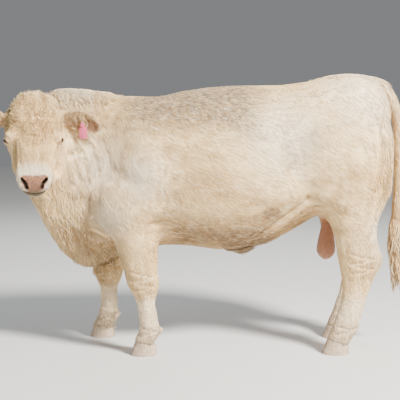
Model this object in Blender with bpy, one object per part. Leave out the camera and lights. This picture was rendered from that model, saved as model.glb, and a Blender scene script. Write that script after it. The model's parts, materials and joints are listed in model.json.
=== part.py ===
"""A Charolais bull standing still, at life size, in metres.

The bull faces -X and turns its head to its left, towards -Y. The floor is z = 0.
The flesh is lofted from stations, melted into one skin, sculpted and thinned. It is then parted
into head, neck, torso, legs, sheath and scrotum by thin cuts. Claws, dewclaws, eyes, ears, tail
and the ear tag are pieces of their own that meet the flesh face to face.
"""

import math
import random

import bmesh
import bpy
import numpy as np
from mathutils import Matrix, Vector

# Driving dimensions of the whole animal
HIP_HEIGHT = 1.43
WITHERS_HEIGHT = 1.318
BACK_HEIGHT = 1.372
CHEST_FLOOR = 0.545
BARREL_HALF_WIDTH = 0.340
HIP_HALF_WIDTH = 0.292
HEAD_LENGTH = 0.48
HEAD_PITCH = math.radians(42)
HEAD_FACING = Vector((0.160, -0.987, 0))
POLL = Vector((-0.830, -0.240, 1.245))
FORE_TRACK = 0.205
ELBOW_TRACK = 0.205
HIND_TRACK = 0.180
STIFLE_TRACK = 0.170
GAP = 0.0003

# How the skin is melted together and thinned
MELT_VOXEL = 0.0075
FLESH_TRIANGLES = 4150
SEED = 41

FORWARD = Vector((-1, 0, 0))
LEFT, RIGHT = -1, 1
UP = Vector((0, 0, 1))


def clear_scene():
    for obj in list(bpy.data.objects):
        bpy.data.objects.remove(obj)


def material(name, colour, roughness):
    """A plain finish: base colour and roughness."""
    made = bpy.data.materials.new(name)
    made.use_nodes = True
    shader = made.node_tree.nodes["Principled BSDF"]
    shader.inputs["Base Color"].default_value = (*colour, 1)
    shader.inputs["Roughness"].default_value = roughness
    return made


def add_object(name, mesh):
    """Links a new object that holds this bmesh."""
    data = bpy.data.meshes.new(name)
    mesh.to_mesh(data)
    mesh.free()
    obj = bpy.data.objects.new(name, data)
    bpy.context.scene.collection.objects.link(obj)
    return obj


def remove(obj):
    bpy.data.objects.remove(obj)


def apply_modifiers(obj):
    """Swaps the object's mesh for the one that its modifiers make."""
    graph = bpy.context.evaluated_depsgraph_get()
    made = bpy.data.meshes.new_from_object(obj.evaluated_get(graph))
    obj.modifiers.clear()
    obj.data = made


def smooth_rows(rows, per_gap):
    """Rows of numbers, the first three a place, read as one smooth curve with per_gap steps in each gap."""
    rows = np.array(rows, float)
    gaps = np.linalg.norm(np.diff(rows[:, :3], axis=0), axis=1)
    slopes = np.gradient(rows, np.concatenate([[0], np.cumsum(gaps)]), axis=0)
    made = []
    for i, gap in enumerate(gaps):
        for t in np.arange(per_gap) / per_gap:
            made.append(
                (2 * t**3 - 3 * t**2 + 1) * rows[i]
                + (t**3 - 2 * t**2 + t) * gap * slopes[i]
                + (3 * t**2 - 2 * t**3) * rows[i + 1]
                + (t**3 - t**2) * gap * slopes[i + 1]
            )
    made.append(rows[-1])
    return np.array(made)


def tube(name, stations, up, normal=None, sides=28, per_gap=4):
    """A closed loft through stations of (x, y, z, half width, reach up, reach down, squareness).

    up says which way a ring's reach up points. Rings stand square to the path, or to normal.
    """
    rows = smooth_rows(stations, per_gap)
    ways = np.gradient(rows[:, :3], axis=0)
    mesh = bmesh.new()
    rings = []
    for row, way in zip(rows, ways):
        centre = Vector(row[:3])
        half, above, below, square = row[3:]
        forward = (normal or Vector(way)).normalized()
        rise = (up - forward * up.dot(forward)).normalized()
        side = forward.cross(rise)
        ring = []
        for k in range(sides):
            turn = 2 * math.pi * k / sides
            across = math.copysign(abs(math.cos(turn)) ** (2 / square), math.cos(turn))
            lift = math.copysign(abs(math.sin(turn)) ** (2 / square), math.sin(turn))
            reach = above if lift > 0 else below
            ring.append(mesh.verts.new(centre + side * half * across + rise * reach * lift))
        rings.append(ring)
    for a, b in zip(rings, rings[1:]):
        for k in range(sides):
            mesh.faces.new((a[k], a[(k + 1) % sides], b[(k + 1) % sides], b[k]))
    mesh.faces.new(rings[0][::-1])
    mesh.faces.new(rings[-1])
    bmesh.ops.recalc_face_normals(mesh, faces=mesh.faces)
    return add_object(name, mesh)


def ball(name, centre, radii, turn=None, segments=20, rings=12):
    """An ellipsoid, turned by the matrix turn about its centre."""
    mesh = bmesh.new()
    place = Matrix.Translation(centre) @ (turn or Matrix()).to_4x4() @ Matrix.Diagonal((*radii, 1))
    bmesh.ops.create_uvsphere(mesh, u_segments=segments, v_segments=rings, radius=1, matrix=place)
    return add_object(name, mesh)


def box(name, low, high):
    """A box between two corners."""
    low, high = Vector(low), Vector(high)
    mesh = bmesh.new()
    middle = Matrix.Translation((low + high) / 2) @ Matrix.Diagonal((*(high - low), 1))
    bmesh.ops.create_cube(mesh, size=1, matrix=middle)
    return add_object(name, mesh)


def boolean(obj, other, operation, solver="EXACT"):
    """Cuts obj by other, joins it to it or keeps what they share, and applies that."""
    cut = obj.modifiers.new(operation, "BOOLEAN")
    cut.operation = operation
    cut.solver = solver
    cut.object = other
    apply_modifiers(obj)


def join_all(obj, pieces):
    """One Boolean union of obj with a collection of closed pieces, which are then removed."""
    group = bpy.data.collections.new("pieces")
    for piece in pieces:
        bpy.context.scene.collection.objects.unlink(piece)
        group.objects.link(piece)
    bpy.context.scene.collection.children.link(group)
    union = obj.modifiers.new("union", "BOOLEAN")
    union.operation = "UNION"
    union.solver = "MANIFOLD"
    union.operand_type = "COLLECTION"
    union.collection = group
    apply_modifiers(obj)
    for piece in pieces:
        remove(piece)
    bpy.data.collections.remove(group)


def grown(obj):
    """A copy of obj with its surface moved out along its normals by the gap."""
    copy = obj.copy()
    copy.data = obj.data.copy()
    bpy.context.scene.collection.objects.link(copy)
    mesh = bmesh.new()
    mesh.from_mesh(copy.data)
    mesh.normal_update()
    moved = [(v, v.co + v.normal * GAP * v.calc_shell_factor()) for v in mesh.verts]
    for v, place in moved:
        v.co = place
    mesh.to_mesh(copy.data)
    mesh.free()
    return copy


def keep_largest(obj):
    """Keeps only the largest closed surface of the mesh."""
    mesh = bmesh.new()
    mesh.from_mesh(obj.data)
    left = set(mesh.verts)
    shells = []
    while left:
        start = left.pop()
        shell, front = {start}, [start]
        while front:
            for edge in front.pop().link_edges:
                for v in edge.verts:
                    if v in left:
                        left.discard(v)
                        shell.add(v)
                        front.append(v)
        shells.append(shell)
    shells.sort(key=len)
    for shell in shells[:-1]:
        bmesh.ops.delete(mesh, geom=list(shell), context="VERTS")
    bmesh.ops.triangulate(mesh, faces=mesh.faces)
    mesh.to_mesh(obj.data)
    mesh.free()


def both_sides(make, name, *args):
    """Makes a form on the left side (y below 0) and again on the right."""
    return [make(f"{name}_{side}", sign, *args) for side, sign in (("left", LEFT), ("right", RIGHT))]


def swell(name, sign, centre, radii, lean=0.0, splay=0.0):
    """A muscle or bone on one side, leaning in the side view and splayed in the top view."""
    x, y, z = centre
    turn = Matrix.Rotation(math.radians(lean), 3, "Y")
    turn = Matrix.Rotation(math.radians(splay * sign), 3, "Z") @ turn
    return ball(name, (x, y * sign, z), radii, turn)


# Torso: x, top, bottom, half width, height of the widest point, squareness
TORSO_STATIONS = (
    (0.960, 1.270, 1.060, 0.110, 1.17, 2.1),
    (0.940, 1.345, 0.960, 0.180, 1.16, 2.2),
    (0.885, 1.408, 0.850, 0.240, 1.15, 2.3),
    (0.780, HIP_HEIGHT, 0.780, 0.280, 1.13, 2.4),
    (0.660, 1.418, 0.730, HIP_HALF_WIDTH, 1.10, 2.4),
    (0.540, 1.390, 0.690, 0.298, 1.07, 2.4),
    (0.440, 1.374, 0.640, 0.308, 1.03, 2.4),
    (0.300, BACK_HEIGHT, 0.562, 0.326, 0.98, 2.3),
    (0.120, 1.368, 0.522, BARREL_HALF_WIDTH, 0.95, 2.2),
    (-0.060, 1.347, CHEST_FLOOR, 0.334, 0.94, 2.2),
    (-0.220, WITHERS_HEIGHT, CHEST_FLOOR, 0.312, 0.94, 2.1),
    (-0.360, 1.322, 0.530, 0.280, 0.94, 2.1),
    (-0.480, 1.322, 0.500, 0.230, 0.94, 2.0),
    (-0.580, 1.318, 0.520, 0.170, 0.95, 2.0),
)


def torso_flesh():
    stations = [
        (x, 0, middle, half, top - middle, middle - bottom, square)
        for x, top, bottom, half, middle, square in TORSO_STATIONS
    ]
    forms = [tube("barrel", stations, UP, normal=FORWARD, sides=36)]
    masses = {
        "upper_arm": ((-0.350, 0.200, 0.760), (0.175, 0.095, 0.160), -25),
        "thigh": ((0.790, 0.165, 0.960), (0.190, 0.120, 0.300), -8),
        "buttock": ((0.900, 0.105, 1.010), (0.088, 0.105, 0.230), 6),
    }
    for name, (centre, radii, lean) in masses.items():
        forms += both_sides(swell, name, centre, radii, lean)
    forms.append(ball("brisket", (-0.560, -0.01, 0.600), (0.125, 0.115, 0.150)))
    forms.append(ball("tail_head", (0.870, 0, 1.372), (0.110, 0.060, 0.052)))
    return forms


# Neck: x, y, z of the middle, half width, reach up, reach down, squareness
NECK_STATIONS = (
    (-0.330, 0.000, 0.95, 0.260, 0.365, 0.400, 2.1),
    (-0.450, 0.000, 0.98, 0.238, 0.350, 0.440, 2.1),
    (-0.570, -0.010, 1.02, 0.210, 0.325, 0.480, 2.0),
    (-0.680, -0.050, 1.06, 0.185, 0.290, 0.420, 2.0),
    (-0.760, -0.115, 1.09, 0.165, 0.225, 0.330, 2.0),
    (-0.805, -0.195, 1.11, 0.145, 0.140, 0.245, 2.0),
    (-0.812, -0.275, 1.09, 0.120, 0.090, 0.185, 2.0),
)
# Dewlap: a thin fold from the throat to the brisket
DEWLAP_STATIONS = (
    (-0.795, -0.300, 0.955, 0.060, 0.090, 0.060, 2.0),
    (-0.785, -0.215, 0.905, 0.055, 0.120, 0.090, 2.0),
    (-0.755, -0.145, 0.820, 0.052, 0.140, 0.110, 2.0),
    (-0.712, -0.085, 0.720, 0.054, 0.150, 0.115, 2.0),
    (-0.652, -0.045, 0.610, 0.062, 0.150, 0.112, 2.0),
    (-0.575, -0.020, 0.540, 0.066, 0.130, 0.106, 2.0),
    (-0.480, 0.000, 0.545, 0.064, 0.100, 0.086, 2.0),
    (-0.400, 0.000, 0.570, 0.054, 0.080, 0.060, 2.0),
)


def neck_flesh():
    crest_turn = Matrix.Rotation(math.radians(20), 3, "Z")
    return [
        tube("neck_tube", NECK_STATIONS, UP, sides=32),
        tube("dewlap", DEWLAP_STATIONS, UP, sides=20),
        ball("crest", (-0.680, -0.055, 1.262), (0.170, 0.090, 0.085), crest_turn),
    ]


def head_axes():
    """The head's own axes: along the face to the muzzle, out of the forehead, and to the animal's left."""
    facing = HEAD_FACING.normalized()
    along = facing * math.cos(HEAD_PITCH) - UP * math.sin(HEAD_PITCH)
    out = facing * math.sin(HEAD_PITCH) + UP * math.cos(HEAD_PITCH)
    return along, out, out.cross(along)


def in_head(along, out, left):
    """A place in the head, in metres from the poll."""
    a, o, s = head_axes()
    return POLL + a * along + o * out + s * left


def head_turn(tip=0.0, yaw=0.0):
    """The turn that lays X along the face, Y to the animal's left and Z out of the forehead."""
    a, o, s = head_axes()
    turn = Matrix((a, s, o)).transposed()
    return turn @ Matrix.Rotation(math.radians(yaw), 3, "Z") @ Matrix.Rotation(math.radians(tip), 3, "Y")


# Face: along, top, bottom, half width, squareness
FACE_STATIONS = (
    (-0.070, 0.030, -0.110, 0.100, 2.1),
    (0.000, 0.056, -0.120, 0.124, 2.3),
    (0.060, 0.070, -0.125, 0.133, 2.5),
    (0.125, 0.070, -0.125, 0.133, 2.6),
    (0.185, 0.060, -0.120, 0.121, 2.5),
    (0.245, 0.052, -0.105, 0.106, 2.4),
    (0.315, 0.046, -0.090, 0.094, 2.3),
    (0.375, 0.040, -0.080, 0.088, 2.3),
    (0.420, 0.032, -0.080, 0.087, 2.3),
    (0.450, 0.018, -0.082, 0.082, 2.3),
    (0.470, 0.000, -0.080, 0.070, 2.1),
    (HEAD_LENGTH, -0.014, -0.068, 0.048, 2.0),
)
# Lower jaw: along, top, bottom, half width
JAW_STATIONS = (
    (0.030, -0.020, -0.185, 0.085),
    (0.100, -0.030, -0.215, 0.103),
    (0.170, -0.040, -0.212, 0.110),
    (0.250, -0.045, -0.188, 0.103),
    (0.330, -0.045, -0.164, 0.086),
    (0.400, -0.050, -0.148, 0.071),
    (0.440, -0.056, -0.138, 0.060),
    (0.462, -0.070, -0.126, 0.040),
)
# Soft masses of one side of the head: along, out, left and radii
HEAD_MASSES = (
    ("nostril_wing", (0.440, -0.012, 0.058), (0.030, 0.030, 0.036)),
    ("upper_lip", (0.445, -0.066, 0.038), (0.032, 0.042, 0.026)),
    ("ear_base", (0.042, -0.010, 0.106), (0.042, 0.036, 0.042)),
)


def head_flesh():
    along, out, _ = head_axes()
    face, jaw = [], []
    for place, top, bottom, half, square in FACE_STATIONS:
        middle = (top + bottom) / 2
        face.append((*in_head(place, middle, 0), half, top - middle, middle - bottom, square))
    for place, top, bottom, half in JAW_STATIONS:
        middle = (top + bottom) / 2
        jaw.append((*in_head(place, middle, 0), half, top - middle, middle - bottom, 2.2))
    dome = in_head(0.010, 0.030, 0)
    forms = [
        tube("face", face, out, normal=along, sides=32),
        tube("jaw", jaw, out, normal=along, sides=24),
        ball("poll_dome", dome, (0.075, 0.095, 0.055), head_turn()),
    ]
    for side in (-1, 1):
        orbit_turn = head_turn(8, 12 * side)
        forms.append(ball("orbit", in_head(0.184, 0.020, 0.106 * side), (0.050, 0.030, 0.032), orbit_turn))
        for name, place, radii in HEAD_MASSES:
            forms.append(ball(name, in_head(place[0], place[1], place[2] * side), radii, head_turn()))
    forms.append(ball("chin", in_head(0.440, -0.118, 0), (0.032, 0.046, 0.026), head_turn()))
    return forms


# Foreleg: height, reach to the front, reach to the rear, half width, squareness
FORE_SHAPE = (
    (0.860, 0.120, 0.120, 0.085, 2.0),
    (0.700, 0.135, 0.135, 0.092, 2.0),
    (0.620, 0.124, 0.124, 0.084, 2.1),
    (0.540, 0.104, 0.106, 0.076, 2.1),
    (0.465, 0.088, 0.090, 0.068, 2.2),
    (0.415, 0.084, 0.083, 0.066, 2.3),
    (0.380, 0.084, 0.084, 0.068, 2.4),
    (0.345, 0.073, 0.074, 0.063, 2.4),
    (0.290, 0.050, 0.052, 0.049, 2.2),
    (0.225, 0.045, 0.047, 0.045, 2.1),
    (0.165, 0.047, 0.050, 0.048, 2.1),
    (0.125, 0.054, 0.057, 0.056, 2.2),
    (0.092, 0.056, 0.052, 0.056, 2.3),
    (0.060, 0.060, 0.052, 0.057, 2.4),
    (0.030, 0.062, 0.054, 0.057, 2.4),
)
# The foreleg's middle line, from front to rear, at shoulder, elbow, knee, fetlock and coronet
FORE_LEVELS = (0.860, 0.620, 0.385, 0.125, 0.030)
FORE_LEFT_LINE = (-0.350, -0.330, -0.292, -0.257, -0.296)
FORE_RIGHT_LINE = (-0.350, -0.430, -0.503, -0.506, -0.548)
# Hind leg: height, reach to the front, reach to the rear, half width, squareness
HIND_SHAPE = (
    (1.150, 0.160, 0.170, 0.100, 2.0),
    (0.980, 0.205, 0.210, 0.118, 2.0),
    (0.830, 0.185, 0.195, 0.112, 2.0),
    (0.740, 0.150, 0.160, 0.100, 2.1),
    (0.660, 0.122, 0.124, 0.087, 2.1),
    (0.600, 0.108, 0.110, 0.077, 2.2),
    (0.540, 0.110, 0.112, 0.071, 2.2),
    (0.487, 0.113, 0.116, 0.067, 2.2),
    (0.437, 0.098, 0.100, 0.064, 2.3),
    (0.390, 0.080, 0.081, 0.057, 2.2),
    (0.330, 0.067, 0.068, 0.051, 2.1),
    (0.250, 0.064, 0.064, 0.049, 2.1),
    (0.180, 0.066, 0.064, 0.052, 2.1),
    (0.135, 0.068, 0.066, 0.057, 2.2),
    (0.095, 0.066, 0.060, 0.057, 2.3),
    (0.060, 0.064, 0.056, 0.057, 2.4),
    (0.030, 0.066, 0.058, 0.057, 2.4),
)
# The hind leg's middle line at hip, stifle, gaskin, hock, cannon, fetlock and coronet
HIND_LEVELS = (1.150, 0.830, 0.620, 0.480, 0.300, 0.135, 0.030)
HIND_LEFT_LINE = (0.780, 0.757, 0.790, 0.821, 0.795, 0.748, 0.699)
HIND_RIGHT_SHIFT = 0.045


def leg_tube(name, side, shape, levels, line, top_track, foot_track):
    """A leg as a loft of level rings about a line through its joints."""
    heights = [row[0] for row in shape]
    places = np.interp(heights, levels[::-1], line[::-1])
    tracks = np.interp(heights, (0.3, 0.75), (foot_track, top_track))
    stations = [
        (x, side * y, height, half, front, rear, square)
        for x, y, (height, front, rear, half, square) in zip(places, tracks, shape)
    ]
    return tube(name, stations, FORWARD, normal=-UP, sides=24)


def leg_flesh():
    hind_right_line = [x + HIND_RIGHT_SHIFT for x in HIND_LEFT_LINE]
    return [
        leg_tube("fore_left", LEFT, FORE_SHAPE, FORE_LEVELS, FORE_LEFT_LINE, ELBOW_TRACK, FORE_TRACK),
        leg_tube("fore_right", RIGHT, FORE_SHAPE, FORE_LEVELS, FORE_RIGHT_LINE, ELBOW_TRACK, FORE_TRACK),
        leg_tube("hind_left", LEFT, HIND_SHAPE, HIND_LEVELS, HIND_LEFT_LINE, STIFLE_TRACK, HIND_TRACK),
        leg_tube("hind_right", RIGHT, HIND_SHAPE, HIND_LEVELS, hind_right_line, STIFLE_TRACK, HIND_TRACK),
    ]


# Sheath: a fold of skin along the belly's midline, x, z, half width, reach up, reach down
SHEATH_STATIONS = (
    (0.150, 0.560, 0.030, 0.050, 0.030),
    (0.185, 0.548, 0.040, 0.060, 0.048),
    (0.260, 0.575, 0.046, 0.070, 0.052),
    (0.350, 0.600, 0.050, 0.080, 0.055),
    (0.450, 0.650, 0.050, 0.090, 0.052),
    (0.550, 0.705, 0.046, 0.090, 0.050),
    (0.630, 0.760, 0.036, 0.060, 0.045),
)
# Scrotum: x, z, reach to the front, reach to the rear, half width
SCROTUM_STATIONS = (
    (0.665, 0.790, 0.050, 0.060, 0.046),
    (0.665, 0.720, 0.040, 0.050, 0.040),
    (0.664, 0.650, 0.034, 0.044, 0.038),
    (0.662, 0.580, 0.042, 0.052, 0.050),
    (0.660, 0.520, 0.048, 0.060, 0.056),
    (0.660, 0.478, 0.036, 0.046, 0.044),
    (0.662, 0.458, 0.014, 0.020, 0.020),
)


def underside_flesh():
    sheath = [(x, 0, z, half, above, below, 2.0) for x, z, half, above, below in SHEATH_STATIONS]
    scrotum = [(x, 0, z, half, front, rear, 2.0) for x, z, front, rear, half in SCROTUM_STATIONS]
    return [
        tube("sheath_fold", sheath, UP, normal=FORWARD, sides=20),
        tube("scrotum_neck", scrotum, FORWARD, normal=-UP, sides=20),
    ]


def melt(name, forms, voxel):
    """Joins overlapping forms into one closed skin of small, even faces."""
    mesh = bmesh.new()
    for form in forms:
        mesh.from_mesh(form.data)
        remove(form)
    obj = add_object(name, mesh)
    remesh = obj.modifiers.new("melt", "REMESH")
    remesh.mode = "VOXEL"
    remesh.voxel_size = voxel
    apply_modifiers(obj)
    return obj


def points_of(obj):
    co = np.empty(len(obj.data.vertices) * 3)
    obj.data.vertices.foreach_get("co", co)
    return co.reshape(-1, 3)


def set_points(obj, co):
    obj.data.vertices.foreach_set("co", co.ravel())
    obj.data.update()


def normals_of(obj):
    out = np.empty(len(obj.data.vertices) * 3)
    obj.data.vertex_normals.foreach_get("vector", out)
    return out.reshape(-1, 3)


def relax(obj, rounds, strength):
    """Evens the surface: each point moves its own share of the way to its neighbours' middle."""
    co = points_of(obj)
    ends = np.empty(len(obj.data.edges) * 2, np.int64)
    obj.data.edges.foreach_get("vertices", ends)
    ends = ends.reshape(-1, 2)
    count = np.bincount(ends.ravel(), minlength=len(co))[:, None]
    for _ in range(rounds):
        total = np.zeros_like(co)
        for axis in range(3):
            total[:, axis] += np.bincount(ends[:, 0], co[ends[:, 1], axis], len(co))
            total[:, axis] += np.bincount(ends[:, 1], co[ends[:, 0], axis], len(co))
        co += strength[:, None] * (total / count - co)
    set_points(obj, co)


def distance_to_line(co, line):
    """How far each point is from a line through a few places."""
    best = np.full(len(co), np.inf)
    for start, end in zip(line, line[1:]):
        start, way = np.array(start, float), np.array(end, float) - np.array(start, float)
        t = np.clip((co - start) @ way / (way @ way), 0, 1)
        best = np.minimum(best, np.linalg.norm(co - start - t[:, None] * way, axis=1))
    return best


def press(obj, line, radius, depth):
    """Pushes the skin in along a line by depth, or raises it where depth is negative."""
    co = points_of(obj)
    fall = np.exp(-((distance_to_line(co, line) / radius) ** 2))
    set_points(obj, co - normals_of(obj) * (depth * fall)[:, None])


# Muscle and bone under the skin of one side: a line of x, y, z places, radius, and the depth it is
# pressed in, or raised where the depth is negative
BODY_RELIEF = (
    (((-0.330, 0.27, 1.22), (-0.260, 0.30, 1.02)), 0.095, -0.018),
    (((-0.470, 0.20, 0.83), (-0.450, 0.20, 0.77)), 0.080, -0.022),
    (((-0.215, 0.30, 0.90), (-0.250, 0.29, 0.76)), 0.070, -0.020),
    (((-0.155, 0.33, 1.14), (-0.130, 0.34, 0.90), (-0.165, 0.31, 0.70)), 0.034, 0.018),
    (((-0.210, 0.28, 0.660), (-0.110, 0.28, 0.615)), 0.040, 0.026),
    (((-0.400, 0.27, 0.93), (-0.310, 0.30, 0.87)), 0.045, 0.014),
    (((-0.400, 0.26, 1.16), (-0.520, 0.22, 0.92)), 0.050, 0.016),
    (((0.480, 0.21, 1.285), (0.540, 0.22, 1.290)), 0.055, -0.020),
    (((0.470, 0.30, 1.16), (0.520, 0.31, 1.00)), 0.080, 0.026),
    (((0.500, 0.30, 0.95), (0.575, 0.29, 0.835)), 0.042, 0.022),
    (((0.575, 0.27, 0.93), (0.620, 0.27, 0.82)), 0.060, -0.016),
    (((0.700, 0.20, 1.33), (0.860, 0.17, 1.33)), 0.085, -0.014),
    (((0.930, 0.09, 1.270), (0.945, 0.09, 1.250)), 0.045, -0.016),
    (((0.740, 0.28, 1.10), (0.800, 0.28, 0.95)), 0.130, -0.014),
    (((0.890, 0.23, 1.17), (0.925, 0.20, 0.90)), 0.042, 0.014),
    (((0.865, 0.255, 0.57), (0.855, 0.25, 0.46)), 0.024, 0.014),
)
SPINE = ((0.500, 0, 1.39), (0.100, 0, 1.37), (-0.150, 0, 1.33))
REAR_CLEFT = ((0.955, 0, 1.20), (0.965, 0, 0.98), (0.900, 0, 0.76))
NECK_FOLDS = (
    ((-0.735, -0.235, 1.00), (-0.715, -0.190, 0.86), (-0.690, -0.120, 0.70)),
    ((-0.680, -0.250, 1.02), (-0.660, -0.205, 0.84), (-0.640, -0.120, 0.64)),
)


def sculpt_body(obj):
    for line, radius, depth in BODY_RELIEF:
        for side in (LEFT, RIGHT):
            press(obj, [(x, side * y, z) for x, y, z in line], radius, depth)
    press(obj, SPINE, 0.030, -0.006)
    press(obj, REAR_CLEFT, 0.028, 0.034)
    for fold in NECK_FOLDS:
        press(obj, fold, 0.020, 0.014)


# Relief of one side of the head: line of along, out, left places, radius, depth pressed in
HEAD_RELIEF = (
    (((0.250, 0.020, 0.105), (0.330, 0.010, 0.094)), 0.026, 0.007),
    (((0.200, -0.070, 0.112), (0.340, -0.095, 0.084)), 0.030, -0.006),
    (((0.215, 0.000, 0.118), (0.320, -0.035, 0.098)), 0.018, -0.006),
    (((0.140, 0.062, 0.085), (0.190, 0.046, 0.112)), 0.018, -0.006),
    (((0.405, -0.040, 0.090), (0.438, -0.070, 0.074)), 0.014, 0.005),
    (((0.070, -0.060, 0.118), (0.150, -0.100, 0.116)), 0.050, -0.008),
)


def sculpt_head(obj):
    for line, radius, depth in HEAD_RELIEF:
        for side in (-1, 1):
            press(obj, [in_head(a, o, s * side) for a, o, s in line], radius, depth)
    press(obj, [in_head(0.200, 0.064, 0), in_head(0.300, 0.052, 0)], 0.040, 0.004)


def sculpt_legs(obj):
    """Tendon hollows of the lower legs, and the cleft between the toes."""
    fores = ((LEFT, FORE_LEFT_LINE), (RIGHT, FORE_RIGHT_LINE))
    for side, line in fores:
        knee, fetlock, toe = line[2], line[3], line[4]
        for y in (side * (FORE_TRACK + 0.06), side * (FORE_TRACK - 0.06)):
            press(obj, [(knee + 0.035, y, 0.330), (fetlock + 0.018, y, 0.170)], 0.014, 0.008)
        y = side * FORE_TRACK
        press(obj, [(toe - 0.058, y, 0.110), (toe - 0.070, y, 0.04)], 0.011, 0.010)
        press(obj, [(toe + 0.062, y, 0.090), (toe + 0.058, y, 0.03)], 0.010, 0.010)
    for side, shift in ((LEFT, 0), (RIGHT, HIND_RIGHT_SHIFT)):
        for y in (side * (HIND_TRACK + 0.065), side * (HIND_TRACK - 0.065)):
            press(obj, [(0.872 + shift, y, 0.620), (0.868 + shift, y, 0.540)], 0.020, 0.020)
            press(obj, [(0.815 + shift, y, 0.370), (0.770 + shift, y, 0.190)], 0.015, 0.008)
        toe, y = HIND_LEFT_LINE[-1] + shift, side * HIND_TRACK
        press(obj, [(toe - 0.066, y, 0.110), (toe - 0.074, y, 0.04)], 0.011, 0.010)
        press(obj, [(toe + 0.066, y, 0.090), (toe + 0.062, y, 0.03)], 0.010, 0.010)


def make_flesh():
    """The whole animal's flesh in one skin of fine faces."""
    forms = torso_flesh() + neck_flesh() + head_flesh() + leg_flesh() + underside_flesh()
    flesh = melt("flesh", forms, MELT_VOXEL)
    co = points_of(flesh)
    along, out, left = ((co - np.array(POLL[:])) @ np.array(axis[:]) for axis in head_axes())
    in_head_share = np.clip((along + 0.05) / 0.1, 0, 1) * np.clip((out + 0.25) / 0.05, 0, 1)
    in_head_share *= abs(left) < 0.17
    low_share = np.clip((0.62 - co[:, 2]) / 0.12, 0, 1)
    strength = 0.5 * (1 - np.maximum(0.80 * in_head_share, 0.94 * low_share))
    relax(flesh, 50, strength)
    sculpt_body(flesh)
    sculpt_head(flesh)
    sculpt_legs(flesh)
    relax(flesh, 2, np.full(len(co), 0.3))
    return flesh


def thin_out(obj, triangles):
    """Reduces the triangles, and keeps more of them on the head, the muzzle and the feet."""
    co = points_of(obj)
    along = np.array(head_axes()[0][:])
    from_poll = co - np.array(POLL[:])
    reach = from_poll @ along
    off_axis = np.linalg.norm(from_poll - np.clip(reach, 0, HEAD_LENGTH)[:, None] * along, axis=1)
    head = (off_axis < 0.24) & (reach > -0.06)
    group = obj.vertex_groups.new(name="keep")
    zones = (
        (co[:, 2] > -1, 0.10),
        (co[:, 2] < 0.5, 0.16),
        (co[:, 2] < 0.15, 0.25),
        (head, 0.24),
        (head & (reach > 0.36), 0.42),
    )
    for zone, weight in zones:
        group.add([int(i) for i in np.nonzero(zone)[0]], weight, "REPLACE")
    faces = sum(len(p.vertices) - 2 for p in obj.data.polygons)
    reduce = obj.modifiers.new("thin", "DECIMATE")
    reduce.ratio = triangles / faces
    reduce.use_collapse_triangulate = True
    reduce.vertex_group = "keep"
    reduce.invert_vertex_group = True
    apply_modifiers(obj)
    obj.vertex_groups.clear()


# Clumps of curly hair: the forehead's rows, then the hump over the nape
CLUMP_SINK = 0.36
CURL_ROWS = 8
CURL_FULL_ROWS = 4
CURL_TOP = -0.062
CURL_STEP = 0.038
CURL_HALF_WIDTH = 0.122
CURL_NARROWING = 0.034
CURL_SPACING = 0.0215
CURL_SIZE = 0.0265
HUMP_ROWS = 8
HUMP_FRONT = Vector((-0.815, -0.165, 1.33))
HUMP_REAR = Vector((-0.520, -0.005, 1.34))
HUMP_RISE = 0.03
HUMP_SPACING = 0.046
HUMP_FALL = 0.016
HUMP_CLUMP_SIZE = 0.036


def face_normal_at(obj, place):
    """The nearest point of the mesh to a place, and the way out of the skin there."""
    return obj.closest_point_on_mesh(place)[1:3]


def clump(point, normal, lie, size, flatness, sink, seed):
    """A rounded clump of curly hair, half sunk in the skin and swept along lie."""
    rise = normal.normalized()
    sweep = (lie - rise * lie.dot(rise)).normalized()
    turn = Matrix((sweep, rise.cross(sweep), rise)).transposed()
    turn = turn @ Matrix.Rotation(seed.uniform(-0.7, 0.7), 3, "Z")
    turn = turn @ Matrix.Rotation(seed.uniform(-0.25, 0.25), 3, "Y")
    stretch = seed.uniform(0.85, 1.25)
    radii = (size * stretch, size / stretch, size * flatness)
    return ball("clump", point + rise * (size * flatness * (1 - 2 * sink)), radii, turn, 6, 4)


def spread_clumps(obj, places, lie, size, flatness, seed):
    """Clumps set close over a patch of the skin, one at each place."""
    made = []
    for place in places:
        point, normal = face_normal_at(obj, place)
        made.append(clump(point, normal, lie, size * seed.uniform(0.85, 1.2), flatness, CLUMP_SINK, seed))
    return made


def forehead_places(seed):
    """Staggered rows from the poll down to between the eyes, narrowing to a point."""
    places = []
    for row in range(CURL_ROWS):
        along = CURL_TOP + CURL_STEP * row
        half = CURL_HALF_WIDTH - CURL_NARROWING * max(row - CURL_FULL_ROWS, 0)
        count = max(2, round(half / CURL_SPACING))
        for k in range(count):
            left = half * (2 * (k + 0.5 * (row % 2)) / count - 1 + 0.5 / count)
            out = 0.08 - 1.6 * left * left
            left += seed.uniform(-0.005, 0.005)
            places.append(in_head(along + seed.uniform(-0.006, 0.006), out, left))
    return places


def nape_places(seed):
    """Rows over the crest of the neck, from behind the poll towards the withers."""
    places = []
    for row in range(HUMP_ROWS):
        share = row / (HUMP_ROWS - 1)
        middle = HUMP_FRONT.lerp(HUMP_REAR, share)
        middle.z += HUMP_RISE * math.sin(math.pi * share)
        across = Vector((-0.5, 0.86, 0)).lerp(Vector((0, 1, 0)), share).normalized()
        for k in (-1.5, -0.5, 0.5, 1.5):
            place = middle + across * (HUMP_SPACING * (k + 0.25 * (-1) ** row)) - UP * HUMP_FALL * k * k
            places.append(place + Vector((seed.uniform(-0.008, 0.008), seed.uniform(-0.006, 0.006), 0)))
    return places


def add_clumps(flesh):
    """The curls of the forehead and the poll, and the shaggy hump of the nape."""
    seed = random.Random(SEED)
    along = head_axes()[0]
    curls = spread_clumps(flesh, forehead_places(seed), along, CURL_SIZE, 0.58, seed)
    hump = spread_clumps(flesh, nape_places(seed), Vector((1, 0.2, 0)), HUMP_CLUMP_SIZE, 0.5, seed)
    join_all(flesh, curls + hump)


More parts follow.
